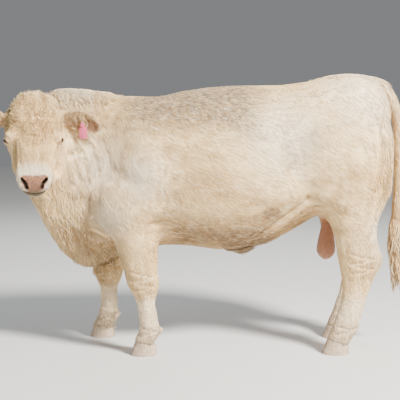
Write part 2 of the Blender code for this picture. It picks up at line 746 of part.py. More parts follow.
def prism(name, outline, half_width, place):
    """A slab: an outline in the X and Z of place, as wide as half_width to each side along its Y."""
    mesh = bmesh.new()
    near = [mesh.verts.new(place @ Vector((x, -half_width, z))) for x, z in outline]
    far = [mesh.verts.new(place @ Vector((x, half_width, z))) for x, z in outline]
    mesh.faces.new(near)
    mesh.faces.new(far[::-1])
    for k in range(len(outline)):
        after = (k + 1) % len(outline)
        mesh.faces.new((near[after], near[k], far[k], far[after]))
    bmesh.ops.recalc_face_normals(mesh, faces=mesh.faces)
    return add_object(name, mesh)


def copy_of(obj, name):
    copy = obj.copy()
    copy.data = obj.data.copy()
    copy.name = name
    bpy.context.scene.collection.objects.link(copy)
    return copy


def part_off(name, body, cutter):
    """Cuts the piece inside the cutter off the body, with a thin gap between them."""
    piece = copy_of(body, name)
    boolean(piece, cutter, "INTERSECT", "MANIFOLD")
    wider = grown(cutter)
    boolean(body, wider, "DIFFERENCE", "MANIFOLD")
    remove(wider)
    remove(cutter)
    keep_largest(piece)
    keep_largest(body)
    return piece


def seat(body, piece):
    """Cuts a seat for the piece in the body, a thin gap larger than the piece."""
    wider = grown(piece)
    boolean(body, wider, "DIFFERENCE", "MANIFOLD")
    remove(wider)
    keep_largest(body)


# The head's cut in its own along and out: behind the poll, down to the throat, and under the jaw
HEAD_CUT = (
    (-0.050, 0.200),
    (-0.050, 0.050),
    (0.085, -0.226),
    (0.300, -0.226),
    (0.420, -0.260),
    (0.620, -0.260),
    (0.620, 0.200),
)
HEAD_CUT_HALF = 0.156
# The neck's cut in x and z: before the shoulder, from the withers to behind the brisket
NECK_CUT = (
    (-0.360, 1.600),
    (-0.360, 1.400),
    (-0.500, 0.780),
    (-0.560, 0.560),
    (-0.560, 0.300),
    (-1.300, 0.300),
    (-1.300, 1.600),
)
FORE_TOP = 0.600
HIND_TOP = 0.625
# Each leg's cut: side, front, rear, inner face, top
LEG_CUTS = {
    "foreleg_left": (LEFT, -0.56, -0.14, 0.105, FORE_TOP),
    "foreleg_right": (RIGHT, -0.70, -0.30, 0.105, FORE_TOP),
    "hindleg_left": (LEFT, 0.57, 1.02, 0.066, HIND_TOP),
    "hindleg_right": (RIGHT, 0.60, 1.06, 0.066, HIND_TOP),
}
SCROTUM_CUT = ((0.585, -0.0655, 0.40), (0.745, 0.0655, 0.690))
SHEATH_CUT = ((0.130, -0.07, 0.40), (0.262, 0.07, 0.528))
CORONET_FRONT = 0.084
CORONET_REAR = 0.046


def cut_flesh(flesh):
    """Parts the flesh into its named nodes. What is left is the torso."""
    head_place = Matrix.Translation(POLL) @ head_turn().to_4x4()
    parts = {"head": part_off("head", flesh, prism("cut", HEAD_CUT, HEAD_CUT_HALF, head_place))}
    for name, (side, front, rear, inner, top) in LEG_CUTS.items():
        low, high = sorted((side * inner, side * 0.45))
        parts[name] = part_off(name, flesh, box("cut", (front, low, -0.1), (rear, high, top)))
    parts["scrotum"] = part_off("scrotum", flesh, box("cut", *SCROTUM_CUT))
    parts["sheath"] = part_off("sheath", flesh, box("cut", *SHEATH_CUT))
    parts["neck"] = part_off("neck", flesh, prism("cut", NECK_CUT, 0.6, Matrix()))
    flesh.name = "torso"
    parts["torso"] = flesh
    return parts


# Claw: height, reach of the toe and of the heel and width, as shares of its size
CLAW_RINGS = (
    (0.000, 1.10, 1.00, 1.00),
    (0.004, 1.12, 1.02, 1.02),
    (0.030, 0.98, 0.98, 0.99),
    (0.060, 0.80, 0.93, 0.95),
    (0.100, 0.62, 0.86, 0.90),
)
CLAW_SIDES = 12
CLAW_CLEFT = 0.0042
INNER_WALL = 0.16
TOE_NARROWING = 0.30


def claw(name, foot, side, outer, turn, size):
    """One claw: a half-hoof on a flat sole, its inner wall nearly straight, its toe leaning forward."""
    mesh = bmesh.new()
    rings = []
    length, width = size
    for height, toe, heel, share in CLAW_RINGS:
        ring = []
        for k in range(CLAW_SIDES):
            angle = 2 * math.pi * k / CLAW_SIDES
            forward, bulge = math.cos(angle), math.sin(angle)
            reach = length * (toe if forward > 0 else heel) * forward
            across = width * share * (bulge if bulge > 0 else INNER_WALL * bulge)
            across *= 1 - TOE_NARROWING * max(forward, 0) ** 3
            off_centre = side * outer * (CLAW_CLEFT + INNER_WALL * width * share + across)
            ring.append(mesh.verts.new(foot + turn @ Vector((-reach, off_centre, height))))
        rings.append(ring)
    for a, b in zip(rings, rings[1:]):
        for k in range(CLAW_SIDES):
            after = (k + 1) % CLAW_SIDES
            mesh.faces.new((a[k], a[after], b[after], b[k]))
    mesh.faces.new(rings[0])
    mesh.faces.new(rings[-1])
    bmesh.ops.recalc_face_normals(mesh, faces=mesh.faces)
    return add_object(name, mesh)


def coronet_cut(foot, turn, lift=0.0):
    """The slab of floor side below the coronet's slanted line."""
    front, rear = CORONET_FRONT + 0.033 + lift, CORONET_REAR - 0.030 + lift
    outline = ((-0.20, -0.05), (-0.20, front), (0.20, rear), (0.20, -0.05))
    return prism("cut", outline, 0.12, Matrix.Translation(foot) @ turn.to_4x4())


FORE_CLAW = (0.064, 0.044)
HIND_CLAW = (0.066, 0.043)
DEWCLAW_RADII = (0.014, 0.013, 0.020)
DEWCLAW_TIP = 0.5


def make_feet(parts):
    """Two claws under the slanted end of each leg, and two dewclaws behind the fetlock."""
    feet = {
        "foreleg_left": (FORE_LEFT_LINE[-1] + 0.012, LEFT, FORE_TRACK, 10, FORE_CLAW),
        "foreleg_right": (FORE_RIGHT_LINE[-1] + 0.012, RIGHT, FORE_TRACK, 10, FORE_CLAW),
        "hindleg_left": (HIND_LEFT_LINE[-1] + 0.004, LEFT, HIND_TRACK, 6, HIND_CLAW),
        "hindleg_right": (HIND_LEFT_LINE[-1] + HIND_RIGHT_SHIFT + 0.004, RIGHT, HIND_TRACK, 6, HIND_CLAW),
    }
    dewclaw_tip = Matrix.Rotation(DEWCLAW_TIP, 3, "Y")
    for leg, (x, side, track, toe_out, size) in feet.items():
        foot = Vector((x, side * track, 0))
        turn = Matrix.Rotation(math.radians(toe_out * -side), 3, "Z")
        below = coronet_cut(foot, turn)
        boolean(parts[leg], below, "DIFFERENCE", "MANIFOLD")
        keep_largest(parts[leg])
        remove(below)
        for label, outer in (("outer", 1), ("inner", -1)):
            made = claw(f"claw_{leg}_{label}", foot, side, outer, turn, size)
            keep = coronet_cut(foot, turn, -GAP)
            boolean(made, keep, "INTERSECT", "MANIFOLD")
            remove(keep)
            parts[made.name] = made
            rear = foot + turn @ Vector((0.105, side * outer * 0.026, 0.108))
            point, normal = face_normal_at(parts[leg], rear)
            place = point - normal * 0.001
            dew = ball(f"dewclaw_{leg}_{label}", place, DEWCLAW_RADII, turn @ dewclaw_tip, 8, 5)
            seat(parts[leg], dew)
            parts[dew.name] = dew


EYE_RADIUS = 0.0205
EYE_LEVEL = (0.174, -0.046)
EYE_BULGE = 0.0075
LID_THICKNESS = 0.0028
# Half of the opening between the lids: along the slit, up to the upper lid, down to the lower one
SLIT_HALF_LENGTH = 0.0195
UPPER_OPENING = 0.0105
LOWER_OPENING = 0.0085


def eye_axes(side):
    """Which way an eye looks, along its slit from the inner corner to the outer one, and up across it."""
    a, o, s = head_axes()
    look = (s * side * 0.78 + o * 0.46 + a * 0.36).normalized()
    slit = (s * side * 0.46 - a * 0.78 + o * 0.06).normalized()
    slit = (slit - look * slit.dot(look)).normalized()
    rise = look.cross(slit) * side
    return look, slit, rise if rise.dot(o) > 0 else -rise


def slit_cut(place, side):
    """The almond-shaped opening between the lids, from the eye's middle outwards."""
    look, slit, rise = eye_axes(side)
    outline = []
    for k in range(12):
        angle = 2 * math.pi * k / 12
        opening = UPPER_OPENING if math.sin(angle) > 0 else LOWER_OPENING
        bow = abs(math.sin(angle)) ** 1.3
        outline.append((SLIT_HALF_LENGTH * math.cos(angle), math.copysign(opening * bow, math.sin(angle))))
    turn = Matrix((slit, look, rise)).transposed().to_4x4()
    reach = EYE_RADIUS
    return prism("cut", outline, reach, Matrix.Translation(place + look * reach) @ turn)


def make_eyes(parts):
    """Eyeballs behind their lids: each lid is a shell round the ball, with a slit cut in it."""
    for label, side in (("left", 1), ("right", -1)):
        head = parts["head"]
        look = eye_axes(side)[0]
        middle = in_head(*EYE_LEVEL, 0.04 * side)
        surface = head.ray_cast(middle, look)[1]
        place = surface - look * (EYE_RADIUS - EYE_BULGE)
        lids = ball("lids", place, (EYE_RADIUS + LID_THICKNESS,) * 3, head_turn(), 14, 9)
        boolean(head, lids, "UNION", "MANIFOLD")
        opening = slit_cut(place, side)
        boolean(head, opening, "DIFFERENCE", "MANIFOLD")
        remove(lids)
        remove(opening)
        eye = ball(f"eye_{label}", place, (EYE_RADIUS,) * 3, head_turn(), 14, 9)
        seat(head, eye)
        parts[eye.name] = eye


NOSTRIL_PLACE = (0.474, -0.022, 0.046)
NOSTRIL_RADII = (0.026, 0.0105, 0.0165)
MOUTH_CORNER = 0.350
MOUTH_LENGTH = 0.130
MOUTH_HALF_WIDTH = 0.080
MOUTH_OUT = -0.094
MOUTH_GAPE = 0.0046
MOUTH_DEPTH = 0.016
PAD_REAR = 0.449
PAD_OUT = -0.030
PAD_SIZE = (0.062, 0.040, 0.040)


def make_muzzle(parts):
    """Nostrils, the line of the mouth, and the bare nose pad set in the muzzle."""
    head = parts["head"]
    for side in (-1, 1):
        turn = head_turn(-25, 0) @ Matrix.Rotation(math.radians(28 * side), 3, "X")
        along, out, across = NOSTRIL_PLACE
        hole = ball("nostril", in_head(along, out, across * side), NOSTRIL_RADII, turn, 12, 6)
        boolean(head, hole, "DIFFERENCE", "MANIFOLD")
        remove(hole)
    stations = []
    for k in range(13):
        share = k / 12 * 2 - 1
        across = MOUTH_HALF_WIDTH * math.sin(share * math.pi / 2)
        along = MOUTH_CORNER + MOUTH_LENGTH * max(math.cos(share * math.pi / 2), 0) ** 0.7
        out = MOUTH_OUT - 0.012 * share * share
        gape = MOUTH_GAPE * (1 - 0.57 * share * share)
        stations.append((*in_head(along, out, across), MOUTH_DEPTH, gape, gape, 2.0))
    groove = tube("mouth", stations, head_axes()[1], sides=8, per_gap=1)
    boolean(head, groove, "DIFFERENCE", "MANIFOLD")
    remove(groove)
    along, out, _ = head_axes()
    ends = [(*in_head(reach, PAD_OUT, 0), *PAD_SIZE, 2.6) for reach in (PAD_REAR, HEAD_LENGTH + 0.04)]
    pad_outline = tube("pad_cut", ends, out, normal=along, sides=20, per_gap=1)
    parts["nose_pad"] = part_off("nose_pad", head, pad_outline)


# Ear: share of its length, half width, depth of the cup, thickness
EAR_SECTIONS = (
    (0.00, 0.020, 0.024, 0.030),
    (0.12, 0.030, 0.030, 0.024),
    (0.28, 0.044, 0.030, 0.013),
    (0.48, 0.056, 0.028, 0.010),
    (0.68, 0.058, 0.024, 0.009),
    (0.85, 0.046, 0.017, 0.008),
    (0.96, 0.025, 0.009, 0.007),
    (1.00, 0.009, 0.004, 0.006),
)
EAR_LENGTH = 0.200
EAR_ROOT = (0.052, -0.006, 0.124)
EAR_DROOP = 0.030
# How far each ear points back: the left one is held off the neck
EAR_BACK = {1: -0.22, -1: 0.16}


def ear_frame(side):
    """The ear's axes: out to its tip, up across it, and the way its cup faces."""
    sideways = head_axes()[2]
    back = EAR_BACK[side]
    tip = (sideways * side - UP * 0.05 + Vector((0, back, 0))).normalized()
    facing = Vector((-0.05 * side, -1.0, -0.30))
    facing = (facing - tip * facing.dot(tip)).normalized()
    return tip, facing.cross(tip) * side, facing


def ear(name, side):
    """A cupped leaf: each section is a crescent, its hollow to the front."""
    tip, up, facing = ear_frame(side)
    if up.z < 0:
        up = -up
    root = in_head(EAR_ROOT[0], EAR_ROOT[1], EAR_ROOT[2] * side)
    mesh = bmesh.new()
    rings = []
    for share, half, cup, thick in EAR_SECTIONS:
        centre = root + tip * EAR_LENGTH * share - UP * EAR_DROOP * share * share
        ring = []
        for k in range(7):
            angle = math.pi * k / 6
            ring.append(centre + up * half * math.cos(angle) - facing * cup * math.sin(angle))
        for k in range(5, 0, -1):
            angle = math.pi * k / 6
            inner = max(cup - thick, 0.001)
            rim = (half - 0.3 * thick) * math.cos(angle)
            ring.append(centre + up * rim - facing * inner * math.sin(angle))
        rings.append([mesh.verts.new(p) for p in ring])
    count = len(rings[0])
    for a, b in zip(rings, rings[1:]):
        for k in range(count):
            quad = (a[k], a[(k + 1) % count], b[(k + 1) % count], b[k])
            mesh.faces.new(quad)
    mesh.faces.new(rings[0])
    mesh.faces.new(rings[-1])
    bmesh.ops.triangulate(mesh, faces=mesh.faces)
    bmesh.ops.recalc_face_normals(mesh, faces=mesh.faces)
    return add_object(name, mesh)


def make_ears(parts):
    for label, side in (("left", 1), ("right", -1)):
        made = ear(f"ear_{label}", side)
        seat(parts["head"], made)
        seat(parts["neck"], made)
        parts[made.name] = made


TAG_SIZE = (0.038, 0.072, 0.0024)
TAG_SHARE = 0.60
# The tag's outline from its eyelet down, as shares of its width and height
TAG_OUTLINE = (
    (-0.18, -0.14),
    (0.18, -0.14),
    (0.24, 0.10),
    (0.50, 0.26),
    (0.50, 0.92),
    (0.42, 1.00),
    (-0.42, 1.00),
    (-0.50, 0.92),
    (-0.50, 0.26),
    (-0.24, 0.10),
)
# The stud's pin and its two heads: from, to and radius
STUD_PIECES = ((-0.032, 0.008, 0.0032), (-0.034, -0.030, 0.013), (0.0040, 0.0085, 0.0105))


def make_tag(parts):
    """A plain plastic tag in front of the left ear, held by a stud through both."""
    tip, up, facing = ear_frame(1)
    root = in_head(EAR_ROOT[0], EAR_ROOT[1], EAR_ROOT[2])
    hole = root + tip * EAR_LENGTH * TAG_SHARE - UP * 0.020
    front = hole + facing * 0.002
    across = facing.cross(UP).normalized()
    flat = facing.cross(across).normalized()
    width, height, thick = TAG_SIZE
    mesh = bmesh.new()
    rows = []
    for depth in (0.001, 0.001 + thick):
        face = front + facing * depth
        rows.append([mesh.verts.new(face + across * width * x + flat * height * y) for x, y in TAG_OUTLINE])
    mesh.faces.new(rows[0])
    mesh.faces.new(rows[1])
    for k in range(len(TAG_OUTLINE)):
        after = (k + 1) % len(TAG_OUTLINE)
        mesh.faces.new((rows[0][k], rows[0][after], rows[1][after], rows[1][k]))
    bmesh.ops.recalc_face_normals(mesh, faces=mesh.faces)
    tag = add_object("ear_tag", mesh)
    pins = []
    for start, end, radius in STUD_PIECES:
        stations = [(*(front + facing * t), radius, radius, radius, 2.0) for t in (start, end)]
        pins.append(tube("pin", stations, up, normal=facing, sides=14, per_gap=1))
    stud = pins[0]
    stud.name = "tag_stud"
    for other in pins[1:]:
        boolean(stud, other, "UNION", "MANIFOLD")
        remove(other)
    seat(tag, stud)
    seat(parts["ear_left"], stud)
    seat(parts["ear_left"], tag)
    parts["ear_tag"] = tag
    parts["tag_stud"] = stud


# Tail: x and z of its middle line, half width, half depth
TAIL_STATIONS = (
    (0.880, 1.392, 0.042, 0.030),
    (0.937, 1.378, 0.040, 0.030),
    (0.990, 1.318, 0.036, 0.030),
    (1.026, 1.223, 0.033, 0.029),
    (1.044, 1.108, 0.031, 0.028),
    (1.046, 0.909, 0.029, 0.027),
    (1.040, 0.761, 0.028, 0.027),
    (1.034, 0.650, 0.030, 0.029),
)
# The switch hangs from here down
SWITCH_TOP = 0.650
SWITCH_STATIONS = (
    (1.034, 0.655, 0.030, 0.029),
    (1.035, 0.610, 0.032, 0.030),
    (1.040, 0.520, 0.028, 0.026),
    (1.046, 0.430, 0.020, 0.018),
    (1.050, 0.360, 0.006, 0.006),
)


def make_tail(parts):
    rows = [(x, 0, z, half, depth, depth, 2.0) for x, z, half, depth in TAIL_STATIONS]
    tail = tube("tail", rows, Vector((1, 0, 0.35)), sides=12, per_gap=2)
    seat(parts["torso"], tail)
    rows = [(x, 0, z, half, depth, depth, 2.0) for x, z, half, depth in SWITCH_STATIONS]
    switch = tube("tail_switch", rows, Vector((1, 0, 0)), normal=-UP, sides=12, per_gap=2)
    above = box("cut", (0.9, -0.1, SWITCH_TOP - GAP), (1.2, 0.1, SWITCH_TOP + 0.1))
    boolean(switch, above, "DIFFERENCE", "MANIFOLD")
    below = box("cut", (0.9, -0.1, SWITCH_TOP - 0.1), (1.2, 0.1, SWITCH_TOP))
    boolean(tail, below, "DIFFERENCE", "MANIFOLD")
    remove(above)
    remove(below)
    join_all(switch, switch_locks())
    keep_largest(switch)
    parts["tail"] = tail
    parts["tail_switch"] = switch


LOCKS = 25
GOLDEN_ANGLE = math.radians(137.50776)
LOCK_TOP = 0.632
LOCK_ROWS_HEIGHT = 0.250


def lock(root, way, length, width, bend, flat):
    """A flat lock of hair, wide across flat, that bends and tapers to its tip."""
    stations = []
    for k in range(5):
        t = k / 4
        centre = root + way * length * t + bend * length * t * t
        half = width * math.sin(math.pi * (0.30 + 0.66 * t)) + 0.0012
        stations.append((*centre, half, 0.42 * half, 0.42 * half, 2.0))
    return tube("lock", stations, flat, sides=6, per_gap=1)


def switch_locks():
    """Locks round the core of the switch, from its top to its tip, in a rising spiral."""
    seed = random.Random(SEED + 1)
    made = []
    for k in range(LOCKS):
        angle = GOLDEN_ANGLE * k
        height = LOCK_TOP - LOCK_ROWS_HEIGHT * k / LOCKS
        core = np.interp(height, (0.36, 0.43, 0.52, 0.61), (0.010, 0.018, 0.027, 0.031))
        out = Vector((math.cos(angle), math.sin(angle), 0))
        root = Vector((1.034 + 0.055 * (0.65 - height), 0, height)) + out * core * 0.62
        way = (-UP + out * seed.uniform(0.16, 0.24)).normalized()
        bend = -out * seed.uniform(0.10, 0.16) + Vector((0.06, seed.uniform(-0.05, 0.05), 0))
        length = seed.uniform(0.17, 0.22) * (1 - 0.25 * k / LOCKS)
        made.append(lock(root, way, length, seed.uniform(0.016, 0.021), bend, out))
    return made


def finish(parts):
    """Gives each piece its material, and sets the origin on the floor under the middle of the whole."""
    coat = material("cream_coat", (0.82, 0.74, 0.60), 0.85)
    skin = material("pink_skin", (0.50, 0.30, 0.24), 0.55)
    horn = material("hoof_horn", (0.60, 0.50, 0.38), 0.50)
    dark = material("dark_eye", (0.03, 0.02, 0.015), 0.12)
    tan = material("tan_hair", (0.60, 0.44, 0.26), 0.80)
    pink = material("tag_plastic", (0.85, 0.20, 0.32), 0.45)
    finishes = {
        "nose": skin,
        "scrotum": skin,
        "claw": horn,
        "dewclaw": horn,
        "eye": dark,
        "tail_switch": tan,
        "ear_tag": pink,
        "tag": pink,
    }
    lows, highs = [], []
    for name, obj in parts.items():
        obj.name = name
        obj.data.name = name
        obj.data.materials.clear()
        chosen = [finishes[key] for key in finishes if name.startswith(key)]
        obj.data.materials.append(chosen[0] if chosen else coat)
        co = points_of(obj)
        lows.append(co.min(axis=0))
        highs.append(co.max(axis=0))
    low, high = np.min(lows, axis=0), np.max(highs, axis=0)
    shift = -np.array([(low[0] + high[0]) / 2, (low[1] + high[1]) / 2, low[2]])
    for obj in parts.values():
        set_points(obj, points_of(obj) + shift)


def main():
    clear_scene()
    flesh = make_flesh()
    thin_out(flesh, FLESH_TRIANGLES)
    add_clumps(flesh)
    parts = cut_flesh(flesh)
    make_feet(parts)
    make_muzzle(parts)
    make_eyes(parts)
    make_ears(parts)
    make_tag(parts)
    make_tail(parts)
    finish(parts)


main()
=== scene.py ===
# %% [markdown]
# # A Charolais bull, still and at life size
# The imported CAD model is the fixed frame. Its flesh comes in parts with thin gaps between them, its
# curls are coarse lumps, and its skin is flat facets. Here one smooth skin takes their place, and a
# coat of solid mesh tufts grows on it.

# %% Frame
import json
import math

import bpy
import numpy as np
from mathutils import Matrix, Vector

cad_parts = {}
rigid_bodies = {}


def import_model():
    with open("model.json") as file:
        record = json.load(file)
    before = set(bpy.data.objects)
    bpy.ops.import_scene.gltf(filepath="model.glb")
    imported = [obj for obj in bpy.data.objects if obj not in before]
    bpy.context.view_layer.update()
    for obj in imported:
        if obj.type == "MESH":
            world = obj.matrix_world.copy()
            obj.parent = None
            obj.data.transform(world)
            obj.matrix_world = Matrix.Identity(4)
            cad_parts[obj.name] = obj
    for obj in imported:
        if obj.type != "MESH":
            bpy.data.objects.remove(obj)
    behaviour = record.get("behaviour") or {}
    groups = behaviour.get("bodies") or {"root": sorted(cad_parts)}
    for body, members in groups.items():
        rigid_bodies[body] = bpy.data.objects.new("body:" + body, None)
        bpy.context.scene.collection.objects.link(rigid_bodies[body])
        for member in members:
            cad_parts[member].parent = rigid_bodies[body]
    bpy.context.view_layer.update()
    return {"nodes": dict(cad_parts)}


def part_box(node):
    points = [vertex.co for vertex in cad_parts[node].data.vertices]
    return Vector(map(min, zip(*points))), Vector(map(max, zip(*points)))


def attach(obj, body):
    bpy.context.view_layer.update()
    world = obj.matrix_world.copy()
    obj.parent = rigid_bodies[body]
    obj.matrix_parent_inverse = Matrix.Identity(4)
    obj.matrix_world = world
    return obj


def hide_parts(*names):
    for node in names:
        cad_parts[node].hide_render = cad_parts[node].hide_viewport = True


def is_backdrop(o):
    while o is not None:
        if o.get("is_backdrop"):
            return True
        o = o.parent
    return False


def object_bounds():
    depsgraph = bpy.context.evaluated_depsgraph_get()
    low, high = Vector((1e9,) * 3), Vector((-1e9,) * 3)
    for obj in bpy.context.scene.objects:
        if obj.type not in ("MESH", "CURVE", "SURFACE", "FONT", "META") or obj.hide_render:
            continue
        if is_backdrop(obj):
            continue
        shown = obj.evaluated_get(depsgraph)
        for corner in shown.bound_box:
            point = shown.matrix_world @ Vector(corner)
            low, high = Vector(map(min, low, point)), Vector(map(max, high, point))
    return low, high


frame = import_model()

nodes = frame["nodes"]

# %% [markdown]
# ## One set of places for the whole animal
# All places below are told from the bull's own middle: x runs to the tail, y to its right, z up from
# the floor. The outer claw of the left foreleg ties these places to the CAD. The head has axes of
# its own, because it is turned to the left and tipped down.

# %% Places
CLAW_CORNER = np.array((-0.3526, -0.2604, 0.0))
SHIFT = np.array(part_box("claw_foreleg_left_outer")[0][:]) - CLAW_CORNER
SHIFT[2] = 0.0
POLL = np.array((-0.83, -0.24, 1.245))
HEAD_PITCH = math.radians(42)
FACING = np.array((0.16, -0.987, 0.0))
FACING /= np.linalg.norm(FACING)
UP = np.array((0.0, 0.0, 1.0))
ALONG = FACING * math.cos(HEAD_PITCH) - UP * math.sin(HEAD_PITCH)
OUT = FACING * math.sin(HEAD_PITCH) + UP * math.cos(HEAD_PITCH)
SIDE = np.cross(OUT, ALONG)
print("shift", np.round(SHIFT, 4))


def smooth(value, low, high):
    """0 below low, 1 above high, and a soft step between them."""
    t = np.clip((value - low) / (high - low), 0, 1)
    return t * t * (3 - 2 * t)


def unit(rows):
    return rows / np.maximum(np.linalg.norm(rows, axis=-1, keepdims=True), 1e-9)


def to_head(co):
    """Places as along the face, out of the forehead and to the animal's left, from the poll."""
    return np.stack([(co - POLL) @ axis for axis in (ALONG, OUT, SIDE)], axis=-1)


def in_head(along, out, left):
    return POLL + along * ALONG + out * OUT + left * SIDE


def to_line(co, line):
    """How far each place is from a line through a few places."""
    best = np.full(len(co), np.inf)
    line = np.array(line, float)
    for start, way in zip(line, np.diff(line, axis=0)):
        t = np.clip((co - start) @ way / (way @ way), 0, 1)
        best = np.minimum(best, np.linalg.norm(co - start - t[:, None] * way, axis=1))
    return best


# %% [markdown]
# ## Mesh helpers
# The skin has some 400,000 points, so they are read and written as one array. A loop over them in
# Python would take minutes.

# %% Reading and writing points
MERGE = 0.00005


def deselect():
    if bpy.context.object and bpy.context.object.mode != "OBJECT":
        bpy.ops.object.mode_set(mode="OBJECT")
    bpy.ops.object.select_all(action="DESELECT")


def mode(name):
    bpy.ops.object.mode_set(mode=name)


def pick(obj):
    """Makes this the one selected and active object."""
    deselect()
    obj.select_set(True)
    bpy.context.view_layer.objects.active = obj


def points_of(obj):
    co = np.empty(len(obj.data.vertices) * 3)
    obj.data.vertices.foreach_get("co", co)
    return co.reshape(-1, 3) - SHIFT


def set_points(obj, co):
    obj.data.vertices.foreach_set("co", (co + SHIFT).ravel())
    obj.data.update()


def normals_of(obj):
    out = np.empty(len(obj.data.vertices) * 3)
    obj.data.vertex_normals.foreach_get("vector", out)
    return out.reshape(-1, 3)


def edges_of(obj):
    ends = np.empty(len(obj.data.edges) * 2, np.int64)
    obj.data.edges.foreach_get("vertices", ends)
    return ends.reshape(-1, 2)


def relax(co, ends, rounds, strength):
    """Evens a surface: each point moves its own share of the way to its neighbours' middle."""
    count = np.bincount(ends.ravel(), minlength=len(co))[:, None]
    for _ in range(rounds):
        total = np.empty_like(co)
        for axis in range(3):
            total[:, axis] = np.bincount(ends[:, 0], co[ends[:, 1], axis], len(co))
            total[:, axis] += np.bincount(ends[:, 1], co[ends[:, 0], axis], len(co))
        co = co + strength[:, None] * (total / count - co)
    return co


def merged_copy(name, ending):
    """A copy of a CAD node: its corners merged, and the facets of each flat face made one."""
    pick(nodes[name])
    bpy.ops.object.duplicate()
    made = bpy.context.object
    bpy.ops.object.parent_clear(type="CLEAR_KEEP_TRANSFORM")
    made.name = made.data.name = f"{name}_{ending}"
    mode("EDIT")
    bpy.ops.mesh.select_all(action="SELECT")
    bpy.ops.mesh.remove_doubles(threshold=MERGE)
    bpy.ops.mesh.dissolve_limited(angle_limit=math.radians(3))
    mode("OBJECT")
    return made


def apply_modifier(obj, kind, **settings):
    pick(obj)
    bpy.ops.object.modifier_add(type=kind)
    modifier = obj.modifiers[-1]
    for name, value in settings.items():
        setattr(modifier, name, value)
    bpy.ops.object.modifier_apply(modifier=modifier.name)


# %% [markdown]
# ## Where things are on the body
# The markings, the way the hair lies and its length all depend on the place. Each region is a soft
# mask from 0 to 1, so that nothing changes along a hard line.

# %% Regions
EAR_LENGTH = 0.2
EAR_ROOTS = {side: in_head(0.052, -0.006, 0.124 * side) for side in (1, -1)}
EAR_AXES = {}
for side, back in ((1, -0.22), (-1, 0.16)):
    tip = unit(SIDE * side - UP * 0.05 + np.array((0, back, 0)))
    facing = np.array((-0.05 * side, -1.0, -0.3))
    facing = unit(facing - tip * (facing @ tip))
    rise = np.cross(facing, tip)
    EAR_AXES[side] = (tip, rise if rise[2] > 0 else -rise, facing)
TAIL_LINE = (
    (0.905, 0, 1.392), (0.955, 0, 1.372), (0.995, 0, 1.31), (1.026, 0, 1.223), (1.046, 0, 0.909),
    (1.034, 0, 0.6)
)


def in_ear(co):
    """Places as along the nearer ear, up across it and out of its cup."""
    places = []
    for side in (1, -1):
        away = co - EAR_ROOTS[side]
        share = away @ EAR_AXES[side][0] / EAR_LENGTH
        away = away + UP * 0.03 * (np.clip(share, 0, 1) ** 2)[:, None]
        places.append(
            np.stack([share * EAR_LENGTH, away @ EAR_AXES[side][1], away @ EAR_AXES[side][2]], axis=-1)
        )
    return np.where(to_head(co)[:, 2:] > 0, places[0], places[1])


def ear_share(co):
    reach, rise, front = in_ear(co).T
    inside = (reach < 0.215) & (abs(rise) < 0.07) & (front > -0.042) & (front < 0.022)
    return smooth(reach, 0.02, 0.045) * inside


def head_share(co):
    along, out = to_head(co)[:, :2].T
    near = to_line(co, (in_head(0, -0.03, 0), in_head(0.48, -0.05, 0)))
    return smooth(along, -0.08, 0.01) * smooth(near, 0.205, 0.165) * smooth(out, -0.245, -0.205)


def leg_share(co):
    x, y, z = co.T
    fore = smooth(z, 0.6, 0.5) * smooth(abs(y), 0.08, 0.115) * (x < 0.1) * smooth(x, -0.66, -0.62)
    hind = smooth(z, 0.68, 0.58) * smooth(abs(y), 0.06, 0.085) * (x > 0.5)
    return np.maximum(fore, hind)


def tail_share(co):
    return smooth(to_line(co, TAIL_LINE), 0.062, 0.048) * smooth(co[:, 0], 0.93, 0.97)


def neck_share(co):
    return smooth(co[:, 0], -0.36, -0.52) * (1 - head_share(co))


HUMP_LINE = ((-0.83, -0.17, 1.3), (-0.7, -0.06, 1.355), (-0.6, -0.02, 1.34))


def hump_share(co):
    """The shaggy hump of hair over the nape."""
    return smooth(to_line(co, HUMP_LINE), 0.15, 0.1) * (1 - ear_share(co))


def scrotum_share(co):
    return smooth(
        to_line(co, ((0.665, 0, 0.72), (0.66, 0, 0.5))), 0.085, 0.07
    ) * smooth(co[:, 2], 0.72, 0.66)


# %% [markdown]
# ## The skin
# The parts of flesh could be skinned one by one, but their gaps would show as seams. So they are
# copied, grown by half a millimetre until they overlap, and melted into one closed surface by a voxel
# remesh. The facets and the lumps of curls then melt away by averaging each point with its
# neighbours, long on the broad body and short on legs, ears and face.

# %% Melt the parts into one skin
FLESH = ["head", "nose_pad", "neck", "torso", "scrotum", "sheath", "tail", "ear_left", "ear_right"]
FLESH += [f"{leg}_{side}" for leg in ("foreleg", "hindleg") for side in ("left", "right")]
FLESH += ["eye_left", "eye_right"]
VOXEL = 0.005
GROWTH = 0.0005

deselect()
for name in FLESH:
    nodes[name].select_set(True)
bpy.context.view_layer.objects.active = nodes["torso"]
bpy.ops.object.duplicate()
bpy.ops.object.join()
skin = bpy.context.object
bpy.ops.object.parent_clear(type="CLEAR_KEEP_TRANSFORM")
skin.name = skin.data.name = "skin"
mode("EDIT")
bpy.ops.mesh.select_all(action="SELECT")
bpy.ops.mesh.remove_doubles(threshold=MERGE)
bpy.ops.transform.shrink_fatten(value=GROWTH)
mode("OBJECT")
apply_modifier(skin, "REMESH", mode="VOXEL", voxel_size=VOXEL)


